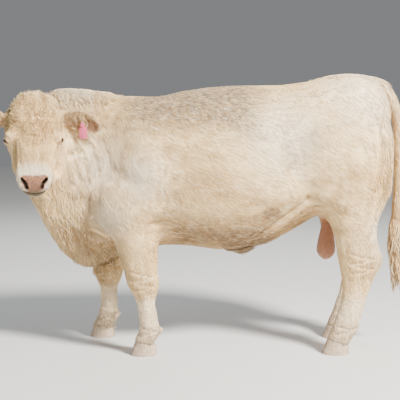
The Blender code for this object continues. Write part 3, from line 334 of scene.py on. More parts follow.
def keep_largest(obj):
    """Drops loose scraps and closed bubbles: only the largest connected surface stays."""
    ends = edges_of(obj)
    label = np.arange(len(obj.data.vertices))
    while True:
        low = label.copy()
        np.minimum.at(low, ends[:, 0], label[ends[:, 1]])
        np.minimum.at(low, ends[:, 1], label[ends[:, 0]])
        low = low[low]
        if np.array_equal(low, label):
            break
        label = low
    main = np.bincount(label).argmax()
    pick(obj)
    obj.data.vertices.foreach_set("select", label != main)
    mode("EDIT")
    bpy.ops.mesh.select_mode(type="VERT")
    mode("OBJECT")
    obj.data.vertices.foreach_set("select", label != main)
    mode("EDIT")
    bpy.ops.mesh.delete(type="VERT")
    mode("OBJECT")
    return int((label != main).sum())


print("loose points dropped", keep_largest(skin))
print("skin melted:", len(skin.data.vertices), "points")

# %% Even out facets and lumps
EYE_RADIUS = 0.0205
EYES = {}
for name, side in (("eye_left", 1), ("eye_right", -1)):
    low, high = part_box(name)
    EYES[side] = (np.array(low[:]) + np.array(high[:])) / 2 - SHIFT
    print(name, np.round(to_head(EYES[side]), 4))


def near_eyes(co, reach):
    return np.minimum(*(np.linalg.norm(co - EYES[side], axis=1) for side in (1, -1))) < reach


co = points_of(skin)
head, legs, ears = head_share(co), leg_share(co), ear_share(co)
along, out, left = to_head(co).T
slim = np.maximum.reduce([legs, tail_share(co), scrotum_share(co)])
dewlap = smooth(co[:, 0], -0.45, -0.6) * smooth(co[:, 2], 0.95, 0.8)
curls = head * smooth(along, 0.25, 0.18) * smooth(out, -0.01, 0.03) * (1 - ears)
hump = hump_share(co)
strength = 0.5 * (1 - 0.8 * dewlap)
strength = strength * (1 - slim) + 0.1 * slim
strength = strength * (1 - head) + 0.045 * head
strength = np.maximum(strength, 0.4 * np.maximum(curls, hump) * (1 - ears))
strength = np.maximum(strength, 0.32 * scrotum_share(co))
strength = strength * (1 - ears) + 0.03 * ears
strength[near_eyes(co, 0.045)] = 0.03
co = relax(co, edges_of(skin), 70, strength)
set_points(skin, co)
eye_gap = np.minimum(*(np.linalg.norm(co - EYES[side], axis=1) for side in (1, -1)))
curl_depth = (0.008 * curls + 0.01 * hump * (1 - ears) * (1 - curls)) * smooth(eye_gap, 0.03, 0.06)
co = co - normals_of(skin) * curl_depth[:, None]
set_points(skin, co)
print("coat room under the curls", round(float(curl_depth.max()), 3))

# %% [markdown]
# ## Finer faces where the head needs them
# Lids, nostrils and lips are a few millimetres wide. The whole skin could be made that fine, but then
# it would be millions of faces. Only the faces round the eyes, on the muzzle and on the ears are
# divided.

# %% Divide the faces of the face
def divide_near(obj, chosen):
    """Divides the faces whose corners are all chosen."""
    pick(obj)
    mode("EDIT")
    bpy.ops.mesh.select_mode(type="VERT")
    bpy.ops.mesh.select_all(action="DESELECT")
    mode("OBJECT")
    obj.data.vertices.foreach_set("select", chosen)
    mode("EDIT")
    bpy.ops.mesh.select_mode(type="VERT")
    bpy.ops.mesh.select_mode(type="FACE")
    bpy.ops.mesh.subdivide(number_cuts=1)
    mode("OBJECT")


# A nostril's line from its wide lower end, near the middle, up and out
NOSTRIL = ((0.48, -0.046, 0.034), (0.48, -0.034, 0.037), (0.476, -0.018, 0.047), (0.47, -0.002, 0.057))
nostrils = {side: [in_head(a, o, s * side) for a, o, s in NOSTRIL] for side in (1, -1)}


def to_nostrils(co):
    """How far each place is from the nearer nostril's line."""
    return np.minimum(to_line(co, nostrils[1]), to_line(co, nostrils[-1]))


def relax_near(obj, distance, reach, rounds):
    """Evens only the places nearer than reach, and fades out towards it."""
    co, ends = points_of(obj), edges_of(obj)
    near = distance < reach
    number = np.cumsum(near) - 1
    inner = number[ends[near[ends].all(axis=1)]]
    strength = 0.6 * smooth(distance[near], reach * 0.95, reach * 0.7)
    co[near] = relax(co[near], inner, rounds, strength)
    set_points(obj, co)


def near_muzzle(co, start):
    along, out, left = to_head(co).T
    return (along > start) & (abs(left) < 0.13) & (out > -0.2)


divide_near(
    skin,
    near_eyes(points_of(skin), 0.06) | near_muzzle(points_of(skin), 0.33) | (
        ear_share(points_of(skin)) > 0.5
    )
)
divide_near(skin, near_eyes(points_of(skin), 0.034))
divide_near(skin, near_eyes(points_of(skin), 0.031))
co = points_of(skin)
fine = np.where(near_eyes(co, 0.075) | near_muzzle(co, 0.3), 0.35, 0.0) + 0.2 * ear_share(co)
set_points(skin, relax(co, edges_of(skin), 5, fine))
relax_near(skin, to_nostrils(points_of(skin)), 0.034, 60)
print("skin with a finer face:", len(skin.data.vertices), "points")


# %% Pressing folds into the skin
REACH = 3.0


def press_all(obj, folds):
    """Pushes the skin in along each line by its depth, or raises it where the depth is negative."""
    co, normals = points_of(obj), normals_of(obj)
    moved = np.zeros(len(co))
    for line, radius, depth in folds:
        line = np.array(line, float)
        low, high = line.min(axis=0) - REACH * radius, line.max(axis=0) + REACH * radius
        near = np.nonzero(np.all((co > low) & (co < high), axis=1))[0]
        moved[near] += depth * np.exp(-((to_line(co[near], line) / radius) ** 2))
    set_points(obj, co - normals * moved[:, None])


def onto_skin(place):
    return np.array(skin.closest_point_on_mesh(Vector(np.array(place) + SHIFT))[1]) - SHIFT


def line_on_skin(line, steps=4):
    """The same line in shorter steps, each laid onto the skin."""
    line = np.array(line, float)
    places = [a + (b - a) * t for a, b in zip(line, line[1:]) for t in np.arange(steps) / steps]
    return [onto_skin(place) for place in places + [line[-1]]]


# %% [markdown]
# ## Eyes and lids
# A bull's eye is a ball some 41 mm across of which only an almond slit shows. The lids could be
# separate shells, but then they'd float on the face. So the skin itself is fitted round the ball: it
# lies over it as the lids, drops into the slit behind the ball's front, and folds above and below.

# %% Lids
SLIT_HALF = 0.0195
UPPER_OPENING = 0.0082
LOWER_OPENING = 0.0072
LID_WALL = 0.0028
# Folds round the lids: height above the slit, radius, depth
LID_FOLDS = (
    (0.0155, 0.004, -0.0022),
    (0.0225, 0.0034, 0.0034),
    (0.031, 0.006, -0.004),
    (-0.019, 0.003, 0.0024),
    (-0.027, 0.0045, 0.002),
)


def eye_axes(side):
    """Which way an eye looks, along its slit from the inner corner out, and up across it."""
    look = unit(SIDE * side * 0.78 + OUT * 0.46 + ALONG * 0.36)
    slit = unit(SIDE * side * 0.46 - ALONG * 0.78 + OUT * 0.06)
    slit = unit(slit - look * (slit @ look))
    rise = np.cross(look, slit)
    return look, slit, rise if rise @ OUT > 0 else -rise


def almond(across, up):
    """How far a place is outside the slit: below 0 inside it, in metres near its edge."""
    share = np.clip(abs(across) / SLIT_HALF, 0, 1)
    bow = np.sqrt(np.maximum(1 - share**1.7, 0)) * (1 - 0.25 * share)
    edge = np.where(up > 0, UPPER_OPENING, -LOWER_OPENING) * bow
    return np.where(abs(across) > SLIT_HALF, abs(across) - SLIT_HALF + abs(up) * 0.5, abs(up) - abs(edge))


for side, centre in EYES.items():
    look, slit, rise = eye_axes(side)
    co = points_of(skin)
    away = co - centre
    distance = np.linalg.norm(away, axis=1)
    ahead, across, up = away @ look, away @ slit, away @ rise
    outside = almond(across, up)
    rim = smooth(distance, EYE_RADIUS * 2.2, EYE_RADIUS * 1.1) * smooth(ahead, -0.004, 0.004)
    shell = EYE_RADIUS + LID_WALL + 0.0012 * np.exp(-((outside - 0.003) / 0.003) ** 2)
    lid = np.where(distance < EYE_RADIUS * 1.5, np.maximum(distance, shell), distance)
    target = lid + (EYE_RADIUS - 0.004 - lid) * smooth(outside, 0.0005, -0.0012)
    moved = distance + (target - distance) * rim
    set_points(skin, centre + away * (moved / np.maximum(distance, 1e-6))[:, None])
    corner = centre - slit * (SLIT_HALF + 0.003) + look * 0.012 - rise * 0.002
    folds = [((corner, corner - slit * 0.016 - rise * 0.006 - look * 0.004), 0.0028, 0.0026)]
    for lift, radius, depth in LID_FOLDS:
        fold = []
        for share in np.linspace(-1, 1, 9):
            place = centre + slit * 0.026 * share + rise * lift * (1 - 0.5 * share**2)
            fold.append(place + look * (EYE_RADIUS * 0.75 - 0.01 * share**2))
        folds.append((fold, radius, depth))
    press_all(skin, folds)
print("lids shaped round", len(EYES), "eyes")

# %% [markdown]
# ## Nostrils, lips and folds of the face
# Each line below is a groove or a ridge in the head's own measures: along the face, out of it and to
# the side. Both sides get the same one.

# %% Muzzle and folds of the face
FACE_LINES = (
    (((0.47, -0.03, 0.056), (0.462, -0.022, 0.068), (0.452, -0.012, 0.074)), 0.0045, 0.005),
    (((0.468, 0.006, 0.034), (0.47, 0.004, 0.052), (0.462, -0.012, 0.066)), 0.0075, -0.003),
    (((0.48, -0.036, 0.034), (0.474, -0.05, 0.05)), 0.008, -0.0022),
    (((0.44, 0.026, 0.045), (0.435, 0.01, 0.07)), 0.0055, 0.002),
    (((0.422, 0.024, 0.06), (0.418, 0.000, 0.08)), 0.006, 0.0018),
    (((0.395, -0.01, 0.088), (0.415, -0.045, 0.086), (0.418, -0.07, 0.078)), 0.007, 0.0022),
    (((0.37, -0.086, 0.08), (0.36, -0.1, 0.078), (0.348, -0.112, 0.074)), 0.006, 0.003),
    (((0.245, 0.03, 0.1), (0.29, 0.012, 0.094), (0.33, -0.01, 0.092)), 0.008, 0.005),
    (((0.255, 0.012, 0.112), (0.3, -0.012, 0.104), (0.345, -0.035, 0.098)), 0.006, 0.0034),
    (((0.27, 0.04, 0.08), (0.33, 0.024, 0.068), (0.39, 0.014, 0.06)), 0.01, 0.0032),
    (((0.2, -0.06, 0.135), (0.26, -0.08, 0.125), (0.31, -0.1, 0.11)), 0.016, -0.006),
    (((0.395, 0.018, 0.078), (0.425, 0.012, 0.082)), 0.012, -0.004),
)
PHILTRUM = ((0.485, -0.032, 0.0), (0.482, -0.072, 0.0), (0.474, -0.088, 0.0))


folds = [([in_head(*place) for place in PHILTRUM], 0.003, 0.0022)]
for line, radius, depth in FACE_LINES:
    for side in (1, -1):
        places = [in_head(a, o, s * side) for a, o, s in line]
        folds.append(
            (places if max(place[0] for place in line) > 0.45 else line_on_skin(places, 3), radius, depth)
        )
for side in (1, -1):
    nostrils[side] = line_on_skin(nostrils[side], 3)
    folds.append((nostrils[side], 0.0165, -0.003))
press_all(skin, folds)
co = points_of(skin)
hollow = smooth(to_nostrils(co), 0.0095, 0.005)
set_points(skin, co - (ALONG * 0.85 + normals_of(skin) * 0.15) * 0.018 * hollow[:, None])
lips = []
mouth = []
for share in np.linspace(-1, 1, 21):
    turn = share * math.pi / 2
    reach = 0.35 + 0.13 * max(math.cos(turn), 0) ** 0.7
    mouth.append(onto_skin(in_head(reach, -0.1 - 0.01 * share**2, 0.08 * math.sin(turn))))
lips.append((mouth, 0.0052, 0.01))
lips.append(([place - OUT * 0.013 for place in mouth[3:-3]], 0.0065, -0.0022))
lips.append(([place + OUT * 0.0105 for place in mouth[3:-3]], 0.005, -0.0014))
press_all(skin, lips)
print("folds of the face:", len(folds) + len(lips))

# %% [markdown]
# ## Folds of the body
# The hide wrinkles where it bends: behind the shoulder, at the elbow, in front of the stifle, at the
# knees and hocks, and in long folds down the throat.

# %% Wrinkles of the body
BODY_LINES = (
    (
        ((-0.205, -0.33, 1.02), (-0.188, -0.34, 0.93), (-0.197, -0.33, 0.86), (-0.182, -0.31, 0.76)),
        0.012, 0.0062
    ),
    (((-0.158, -0.34, 0.97), (-0.168, -0.34, 0.9), (-0.15, -0.33, 0.79)), 0.01, 0.0054),
    (((-0.126, -0.34, 0.92), (-0.136, -0.34, 0.84), (-0.118, -0.33, 0.77)), 0.0095, 0.0042),
    (((-0.25, -0.3, 0.9), (-0.238, -0.31, 0.83), (-0.246, -0.31, 0.76)), 0.01, 0.0056),
    (((-0.245, -0.27, 0.68), (-0.16, -0.29, 0.65), (-0.09, -0.28, 0.625)), 0.016, 0.012),
    (((-0.27, -0.3, 0.98), (-0.225, -0.31, 0.9), (-0.2, -0.31, 0.8)), 0.035, 0.012),
    (((-0.42, -0.26, 0.96), (-0.4, -0.27, 0.86), (-0.34, -0.28, 0.78)), 0.03, 0.008),
    (((0.455, -0.3, 0.95), (0.5, -0.29, 0.86), (0.56, -0.27, 0.785)), 0.026, 0.015),
    (((0.43, -0.31, 0.9), (0.48, -0.3, 0.8)), 0.012, 0.0045),
    (((0.56, -0.27, 0.79), (0.47, -0.26, 0.69), (0.36, -0.22, 0.605), (0.23, -0.14, 0.55)), 0.014, 0.012),
    (((0.59, -0.25, 0.76), (0.505, -0.24, 0.66), (0.4, -0.19, 0.58), (0.27, -0.11, 0.53)), 0.018, -0.01),
    (((0.6, -0.2, 0.72), (0.52, -0.18, 0.63), (0.41, -0.12, 0.56)), 0.012, 0.008),
    (((0.45, -0.3, 1.15), (0.5, -0.31, 1.06), (0.52, -0.31, 0.98)), 0.045, 0.01),
    (((-0.64, -0.245, 1.04), (-0.61, -0.21, 0.9), (-0.6, -0.14, 0.7)), 0.013, 0.009),
    (((-0.6, -0.235, 1.06), (-0.565, -0.22, 0.92), (-0.545, -0.16, 0.74)), 0.014, 0.0095),
    (((-0.56, -0.235, 1.1), (-0.52, -0.235, 0.98), (-0.5, -0.2, 0.84)), 0.015, 0.009),
    (((-0.5, -0.235, 1.12), (-0.46, -0.24, 1.00), (-0.45, -0.23, 0.9)), 0.017, 0.008),
    (((-0.58, -0.2, 0.64), (-0.5, -0.18, 0.6), (-0.42, -0.2, 0.62)), 0.013, 0.007),
    (((-0.6, -0.16, 0.57), (-0.52, -0.15, 0.53), (-0.43, -0.15, 0.54)), 0.012, 0.006),
    (((0.88, -0.22, 0.7), (0.9, -0.2, 0.62)), 0.012, 0.005),
    (((0.7, -0.33, 1.02), (0.74, -0.32, 0.9), (0.72, -0.31, 0.78)), 0.03, -0.006),
    (((0.91, -0.19, 1.15), (0.9, -0.22, 1.000), (0.88, -0.24, 0.86)), 0.026, 0.009),
)
folds = []
for line, radius, depth in BODY_LINES:
    for side in (1, -1):
        folds.append((line_on_skin([(x, y * side, z) for x, y, z in line]), radius, depth))
JOINTS = (
    (-0.29, -0.205, (0.345, 0.372, 0.398, 0.422), 0.066),
    (-0.5, 0.205, (0.345, 0.372, 0.398, 0.422), 0.066),
    (0.822, -0.18, (0.43, 0.455, 0.482, 0.508), 0.07),
    (0.867, 0.18, (0.43, 0.455, 0.482, 0.508), 0.07),
    (-0.262, -0.205, (0.12, 0.138), 0.058),
    (-0.51, 0.205, (0.12, 0.138), 0.058),
    (0.746, -0.18, (0.12, 0.14), 0.058),
    (0.791, 0.18, (0.12, 0.14), 0.058),
)
for x, y, levels, half in JOINTS:
    for k, level in enumerate(levels):
        for outer in (1, -1):
            arc = [
                (
                    x + 0.06 * t, y + outer * half, level + 0.012 * t * (-1) ** k + 0.006 * t * t
                ) for t in (-1, 0, 1)
            ]
            folds.append((line_on_skin(arc, 3), 0.006, 0.0052))
press_all(skin, folds)
print("folds of the body:", len(folds))

# %% [markdown]
# ## Thinning the skin
# The skin is thinned to some 188,000 triangles. A piece may have up to 200,000 triangles. The flat flanks
# need few and the face many, so a decimation is held back on the head, the ears and the legs by a vertex
# group.

# %% Thin out
SKIN_TRIANGLES = 188000
co = points_of(skin)
keep = np.maximum.reduce(
    [0.35 * head_share(co), 0.5 * ear_share(co), 0.2 * leg_share(co), np.full(len(co), 0.03)]
)
keep[near_muzzle(co, 0.36)] = 0.7
keep[near_eyes(co, 0.055)] = 1.0
group = skin.vertex_groups.new(name="keep")
for level in np.unique(np.round(keep, 2)):
    group.add([int(i) for i in np.nonzero(np.round(keep, 2) == level)[0]], float(level), "REPLACE")
triangles = sum(len(p.vertices) - 2 for p in skin.data.polygons)
apply_modifier(
    skin, "DECIMATE", ratio=min(1, SKIN_TRIANGLES / triangles), vertex_group="keep",
    invert_vertex_group=True, use_collapse_triangulate=True
)
skin.vertex_groups.clear()
pick(skin)
bpy.ops.object.shade_smooth()
print("skin thinned from", triangles, "to", len(skin.data.polygons), "triangles")

# %% [markdown]
# ## Markings
# The bull is cream all over, but no two places are the same: bare pink skin on the nose, lids and scrotum,
# orange-brown inside the ears, tan on the knees and hocks. Shade is painted in among them: grey along the
# back, on the flank fold, the ear rims and a crease before the hip, tan on the belly, the ear rims and
# beside the tail, and dark in the nostrils, the mouth and round the eye slits. The skin and every tuft of
# hair ask the same function for these shares, so the coat matches the skin.

# %% Shares of each colour
def on_left(co):
    """The same places, with those of the right side mirrored to the left."""
    return np.stack([co[:, 0], -abs(co[:, 1]), co[:, 2]], axis=-1)


def ball_share(co, centre, reach):
    return np.exp(-((np.linalg.norm(co - np.array(centre), axis=1) / reach) ** 2))


def line_share(co, line, reach):
    return np.exp(-((to_line(co, line) / reach) ** 2))


def pad_share(co):
    """The bare nose pad: a shield, wide and level above, narrower down to the upper lip."""
    along, out, left = to_head(co).T
    half = np.interp(out, (-0.088, -0.07, -0.03, 0.004, 0.014), (0.02, 0.036, 0.056, 0.066, 0.05))
    edge = half - abs(left) + 0.0015 * np.sin(left * 210) + 0.001 * np.sin(out * 300)
    level = smooth(out, -0.089, -0.085) * smooth(out, 0.014, 0.01)
    return smooth(edge, -0.001, 0.003) * smooth(along, 0.425, 0.432) * level


def markings(co, normals):
    """Bare skin, tan, grey and dark, each from 0 to 1, for every place."""
    along, out = to_head(co)[:, :2].T
    x, y, z = co.T
    pad = pad_share(co)
    lids, corners = np.zeros(len(co)), np.zeros(len(co))
    for side, centre in EYES.items():
        look, slit, rise = eye_axes(side)
        away = co - centre
        outside = almond(away @ slit, away @ rise)
        near = (np.linalg.norm(away, axis=1) < 0.036) & (away @ look > -0.006)
        # The rim round each slit: bare skin, and painted shade in the dark share.
        lids = np.maximum(lids, near * smooth(outside, 0.0042, 0.0012))
        inner = centre - slit * (SLIT_HALF + 0.002) + look * 0.012
        corners = np.maximum(
            corners, 1.2 * line_share(co, (inner, inner - slit * 0.012 - rise * 0.004), 0.006)
        )
    # Painted shade in the gap of the mouth and deep in the nostrils.
    mouth_shade = smooth(to_line(co, mouth), 0.0095, 0.005)
    nostril_shade = smooth(np.minimum(to_nostrils(co), to_nostrils(co + ALONG * 0.012) - 0.003), 0.0115, 0.008)
    grime = line_share(co, mouth[5:16], 0.024) * smooth(out, -0.045, -0.07)
    ears = ear_share(co)
    rise = in_ear(co)[:, 1]
    inside = ears * smooth(
        -normals[:, 1], 0.1, 0.5
    ) * smooth(rise, 0.034, 0.016) * smooth(rise, -0.046, -0.026)
    rims = ears * smooth(rise, 0.02, 0.036)
    bare = np.maximum.reduce([pad, 0.75 * lids, scrotum_share(co), 0.6 * inside])
    side_on = on_left(co)
    # Tan on the belly is painted shade under the body.
    belly = smooth(z, 0.86, 0.6) * smooth(x, -0.3, -0.1) * smooth(x, 0.5, 0.3) * (1 - leg_share(co))
    tan = np.maximum.reduce([
        0.85 * belly,
        0.5 * pad,
        0.58 * inside,
        # painted shade on the top rims of the ears
        0.3 * rims,
        0.8 * grime,
        1.3 * np.exp(-(((x - 0.362) / 0.07) ** 2) - ((z - 0.735) / 0.048) ** 2) * (y < 0),
        0.35 * ball_share(side_on, (0.02, -0.34, 0.8), 0.16),
        0.55 * line_share(co, ((-0.33, -0.26, 0.41), (-0.29, -0.26, 0.32)), 0.04),
        0.45 * line_share(co, ((0.87, -0.22, 0.56), (0.86, -0.22, 0.44)), 0.045),
        0.3 * smooth(z, 0.3, 0.08),
        0.75 * tail_share(co) * smooth(z, 1.05, 0.66),
        # painted shade on the buttock beside the tail
        0.4 * line_share(side_on, ((0.95, -0.1, 1.22), (0.95, -0.13, 1.00), (0.9, -0.16, 0.8)), 0.05),
        0.4 * corners,
        0.25 * smooth(along, 0.3, 0.42) * head_share(co),
        0.8 * line_share(co, ((-0.66, -0.05, 0.62), (-0.5, 0, 0.5), (-0.38, 0, 0.52)), 0.13),
    ])
    grey = np.maximum.reduce([
        # painted shade along the top of the back
        0.85 * smooth(z, 1.08, 1.25) * smooth(x, -0.46, -0.28) * smooth(x, 0.38, 0.18),
        # painted shade on the fold from the stifle to the sheath
        0.5 * line_share(
            side_on, ((0.58, -0.24, 0.74), (0.49, -0.23, 0.65), (0.38, -0.18, 0.575), (0.26, -0.1, 0.53)),
            0.035
        ),
        # painted shade on the top rims of the ears
        0.3 * rims,
        # painted shade in a crease before the hip, on the left side
        0.45 * line_share(co, ((0.43, -0.3, 1.14), (0.5, -0.3, 0.98)), 0.06),
        0.4 * ball_share(co, (0.2, 0.0, 0.5), 0.07),
        0.25 * smooth(z, 0.2, 0.1),
    ])
    # Dark is painted shade in the nostrils, the mouth's gap and round the eye slits, and dirt below the
    # mouth.
    dark = np.maximum.reduce(
        [0.92 * nostril_shade, 0.9 * mouth_shade, 0.7 * grime, 0.85 * lids * smooth(pad, 0.5, 0.0)]
    )
    return np.clip(np.stack([bare, tan, grey, dark], axis=-1), 0, 1)


# %% [markdown]
# ## How the hair lies
# Cattle hair runs back along the body and down its sides, straight down the neck and the legs, down
# the bridge of the nose and out along the ears. One function gives that direction anywhere, laid
# flat on the skin. The skin's bump is stretched along the same ways.

# %% The lie of the coat
BACKWARD = unit(np.array((1.0, 0.0, -0.3)))
DOWNWARD = unit(np.array((0.16, 0.0, -1.0)))


def lay_shares(co):
    """How far the hair runs back, down and along the face, and how pale it is painted, painted highlights
    included.
    """
    head = head_share(co) * (1 - ear_share(co))
    down = np.maximum.reduce(
        [leg_share(co), neck_share(co), tail_share(co), smooth(co[:, 0], 0.8, 0.93), scrotum_share(co)]
    )
    down = np.maximum(down, 0.6 * smooth(co[:, 0], -0.2, -0.4)) * (1 - head)
    back = np.clip(1 - down - head, 0, 1)
    return np.stack([back, down, head, pale_and_highlight_share(co)], axis=-1)


# Painted highlights, where light falls brightest on the coat: a place on the left side and how far it
# reaches
HIGHLIGHT_PLACES = (
    ((0.82, -0.16, 1.32), 0.22),
    ((0.42, -0.3, 1.13), 0.2),
    ((-0.32, -0.3, 0.93), 0.14),
    ((-0.5, -0.22, 0.98), 0.16),
    ((-0.46, -0.24, 0.74), 0.12),
    ((0.92, -0.15, 0.62), 0.12),
    ((-0.68, -0.05, 1.36), 0.14),
)


def pale_and_highlight_share(co):
    along = to_head(co)[:, 0]
    # Balls of painted highlight. The muzzle and the shins below are paler hair.
    pale = np.maximum.reduce([ball_share(on_left(co), place, reach) for place, reach in HIGHLIGHT_PLACES])
    muzzle = smooth(along, 0.37, 0.435) * head_share(co)
    shins = 0.7 * smooth(co[:, 2], 0.36, 0.24)
    return np.maximum.reduce([pale, muzzle, shins])


def lie_of(co, normals):
    shares = lay_shares(co)
    along, left = to_head(co)[:, ::2].T
    back = np.stack(
        [np.ones(len(co)), np.zeros(len(co)), -0.15 - 0.6 * smooth(abs(co[:, 1]), 0.12, 0.3)], axis=-1
    )
    down = np.stack(
        [0.16 + 0.25 * smooth(co[:, 2], 0.7, 1.2), np.zeros(len(co)), -np.ones(len(co))], axis=-1
    )
    cheek = smooth(abs(left), 0.075, 0.115)[:, None]
    up_face = smooth(along, 0.18, 0.1)[:, None]
    face = ALONG * (1 - 1.6 * up_face) * (1 - cheek) + cheek * (ALONG * 0.35 - OUT * 0.9)
    face = face + SIDE * (left * 4.0)[:, None] * up_face
    way = shares[:, :1] * unit(back) + shares[:, 1:2] * unit(down) + shares[:, 2:3] * unit(face)
    for side in (1, -1):
        near = (ear_share(co) * (np.sign(left) == side))[:, None]
        way = way * (1 - near) + near * unit(EAR_AXES[side][0] - UP * 0.35)
    way = way - normals * np.sum(way * normals, axis=1, keepdims=True)
    return unit(way)


# %% [markdown]
# ## Coat and skin materials
# Both use one recipe for colour: cream, made uneven by noise at several sizes, then tan, grey, bare pink
# and dark laid over it by the markings, and paler coat as painted highlights. The skin adds bump from noise
# stretched along the lie of the hair, and the same noise paints it deeper in the bump's grooves and paler
# on its ridges, as painted shade and highlight. The tufts are real mesh, so their one such paint is a
# painted shade: darker at the root than at the tip.

# %% Node helpers
class Recipe:
    """A material's node tree, with short ways to add and join nodes."""

    def __init__(self, name, roughness):
        self.material = bpy.data.materials.new(name)
        self.material.use_nodes = True
        self.tree = self.material.node_tree
        self.shader = self.tree.nodes["Principled BSDF"]
        self.shader.inputs["Roughness"].default_value = roughness

    def node(self, kind, **settings):
        made = self.tree.nodes.new(kind)
        for name, value in settings.items():
            setattr(made, name, value)
        return made

    def join(self, source, target):
        self.tree.links.new(source, target)

    def put(self, socket, value):
        if hasattr(value, "is_output"):
            self.join(value, socket)
        else:
            socket.default_value = value

    def finish(self, name, value):
        """Joins a value to the shader's input of that name."""
        self.join(value, self.shader.inputs[name])

    def attribute(self, name):
        return self.node("ShaderNodeAttribute", attribute_name=name)

    def channels(self, name):
        """A colour attribute's red, green, blue and alpha."""
        source = self.attribute(name)
        split = self.node("ShaderNodeSeparateColor")
        self.join(source.outputs["Color"], split.inputs["Color"])
        return (*split.outputs, source.outputs["Alpha"])

    def noise(self, scale, way=None, stretch=1.0, detail=3.0):
        """Noise on Object coordinates, its grain drawn out along a direction."""
        place = self.node("ShaderNodeTexCoord").outputs["Object"]
        if way is not None:
            mapping = self.node("ShaderNodeMapping", vector_type="TEXTURE")
            mapping.inputs["Rotation"].default_value = Vector(way).to_track_quat("X", "Z").to_euler()
            mapping.inputs["Scale"].default_value = (stretch, 1, 1)
            self.join(place, mapping.inputs["Vector"])
            place = mapping.outputs["Vector"]
        made = self.node("ShaderNodeTexNoise")
        made.inputs["Scale"].default_value = scale
        made.inputs["Detail"].default_value = detail
        made.inputs["Roughness"].default_value = 0.55
        self.join(place, made.inputs["Vector"])
        return made.outputs["Fac"]

    def grain(self, shares, scales, stretches, detail):
        """Noise drawn out back, down and along the face, each by its share of the lie."""
        total = None
        for share, way, scale, stretch in zip(shares, (BACKWARD, DOWNWARD, ALONG), scales, stretches):
            part = self.times(self.noise(scale, way, stretch, detail), share)
            total = part if total is None else self.plus(total, part)
        return total

    def math(self, operation, a, b=0.0):
        made = self.node("ShaderNodeMath", operation=operation)
        self.put(made.inputs[0], a)
        self.put(made.inputs[1], b)
        return made.outputs[0]

    def times(self, a, b):
        return self.math("MULTIPLY", a, b)

    def plus(self, a, b):
        return self.math("ADD", a, b)

    def spread(self, value, low, high, start=0.0, end=1.0):
        made = self.node("ShaderNodeMapRange")
        for socket, number in zip(("From Min", "From Max", "To Min", "To Max"), (low, high, start, end)):
            made.inputs[socket].default_value = number
        self.join(value, made.inputs["Value"])
        return made.outputs["Result"]

    def mix(self, share, under, over):
        made = self.node("ShaderNodeMix", data_type="RGBA")
        self.put(made.inputs["Factor"], share)
        for socket, colour in ((made.inputs[6], under), (made.inputs[7], over)):
            self.put(socket, (*colour, 1) if isinstance(colour, tuple) else colour)
        return made.outputs[2]

    def bump(self, height, depth):
        made = self.node("ShaderNodeBump")
        made.inputs["Strength"].default_value = 1.0
        made.inputs["Distance"].default_value = depth
        self.join(height, made.inputs["Height"])
        return made.outputs["Normal"]


# %% Colours of the animal
PALE = (0.97, 0.88, 0.7)
CREAM = (0.93, 0.68, 0.34)
WARM_CREAM = (0.76, 0.5, 0.21)
DEEP_CREAM = (0.48, 0.29, 0.11)
# TAN carries painted shade on the belly, the ear rims and beside the tail, as well as dirt and real tan.
TAN = (0.32, 0.17, 0.06)
# GREY is mostly painted shade: along the back, on the flank fold, the ear rims and a crease before the hip.
# It also tints the switch and the feet.
GREY = (0.2, 0.14, 0.09)
PINK = (0.52, 0.23, 0.12)
BROWN_PINK = (0.36, 0.16, 0.09)
# DARK paints shade in the nostrils, the mouth and round the eye slits, and dirt below the mouth.
DARK = (0.034, 0.02, 0.012)
# Dirt brown, also used as painted shade on the belly where the tan is strongest.
DIRT_AND_SHADE = (0.14, 0.075, 0.035)


def animal_colour(recipe, tone):
    """Cream made uneven, with the markings over it. tone makes it deeper below 0.5 and paler above."""
    bare, tan, grey, dark = recipe.channels("marks")
    *lay, pale = recipe.channels("lay")
    colour = recipe.mix(recipe.spread(recipe.noise(4.0, detail=2), 0.38, 0.7), CREAM, WARM_CREAM)
    streaks = recipe.grain(lay, (13.0, 24.0, 30.0), (2.5, 8.0, 3.5), 3.0)
    colour = recipe.mix(recipe.spread(streaks, 0.44, 0.68, 0.0, 0.8), colour, DEEP_CREAM)
    # Paler where the lay's last channel says: painted highlights, and the paler muzzle and shins.
    colour = recipe.mix(recipe.times(pale, 0.75), colour, PALE)
    ragged = recipe.spread(recipe.noise(35.0, detail=4), 0.25, 0.75, 0.45, 1.35)
    # The tan share includes painted shade on the belly, the ear rims and beside the tail.
    colour = recipe.mix(recipe.times(tan, ragged), colour, TAN)
    # Strong tan turns dirt brown: caked dirt on the rubbed patch, below the mouth and on the switch, and
    # painted shade on the belly.
    caked_dirt_and_shade = recipe.times(recipe.spread(tan, 0.6, 1.0, 0.0, 0.6), ragged)
    colour = recipe.mix(caked_dirt_and_shade, colour, DIRT_AND_SHADE)
    # The grey share is mostly painted shade: back, flank fold, ear rims and a hip crease.
    colour = recipe.mix(recipe.times(grey, ragged), colour, GREY)
    # tone paints shade and highlight: deeper at the tufts' roots and in the skin bump's grooves, paler at
    # the tips and on the ridges. The tufts also vary at random.
    colour = recipe.mix(recipe.spread(tone, 0.0, 0.5, 0.5, 0.0), colour, DEEP_CREAM)
    colour = recipe.mix(recipe.spread(tone, 0.5, 1.0, 0.0, 0.5), colour, PALE)
    veined = recipe.spread(recipe.noise(60.0, detail=4), 0.3, 0.7)
    colour = recipe.mix(bare, colour, recipe.mix(veined, PINK, BROWN_PINK))
    flecks = recipe.spread(recipe.noise(110.0, detail=4), 0.42, 0.6, 0.1, 1.4)
    colour = recipe.mix(recipe.times(recipe.times(bare, tan), flecks), colour, DIRT_AND_SHADE)
    # Dark share: painted shade in the nostrils, the mouth and round the eye slits, and dirt below the
    # mouth.
    return recipe.mix(dark, colour, DARK)


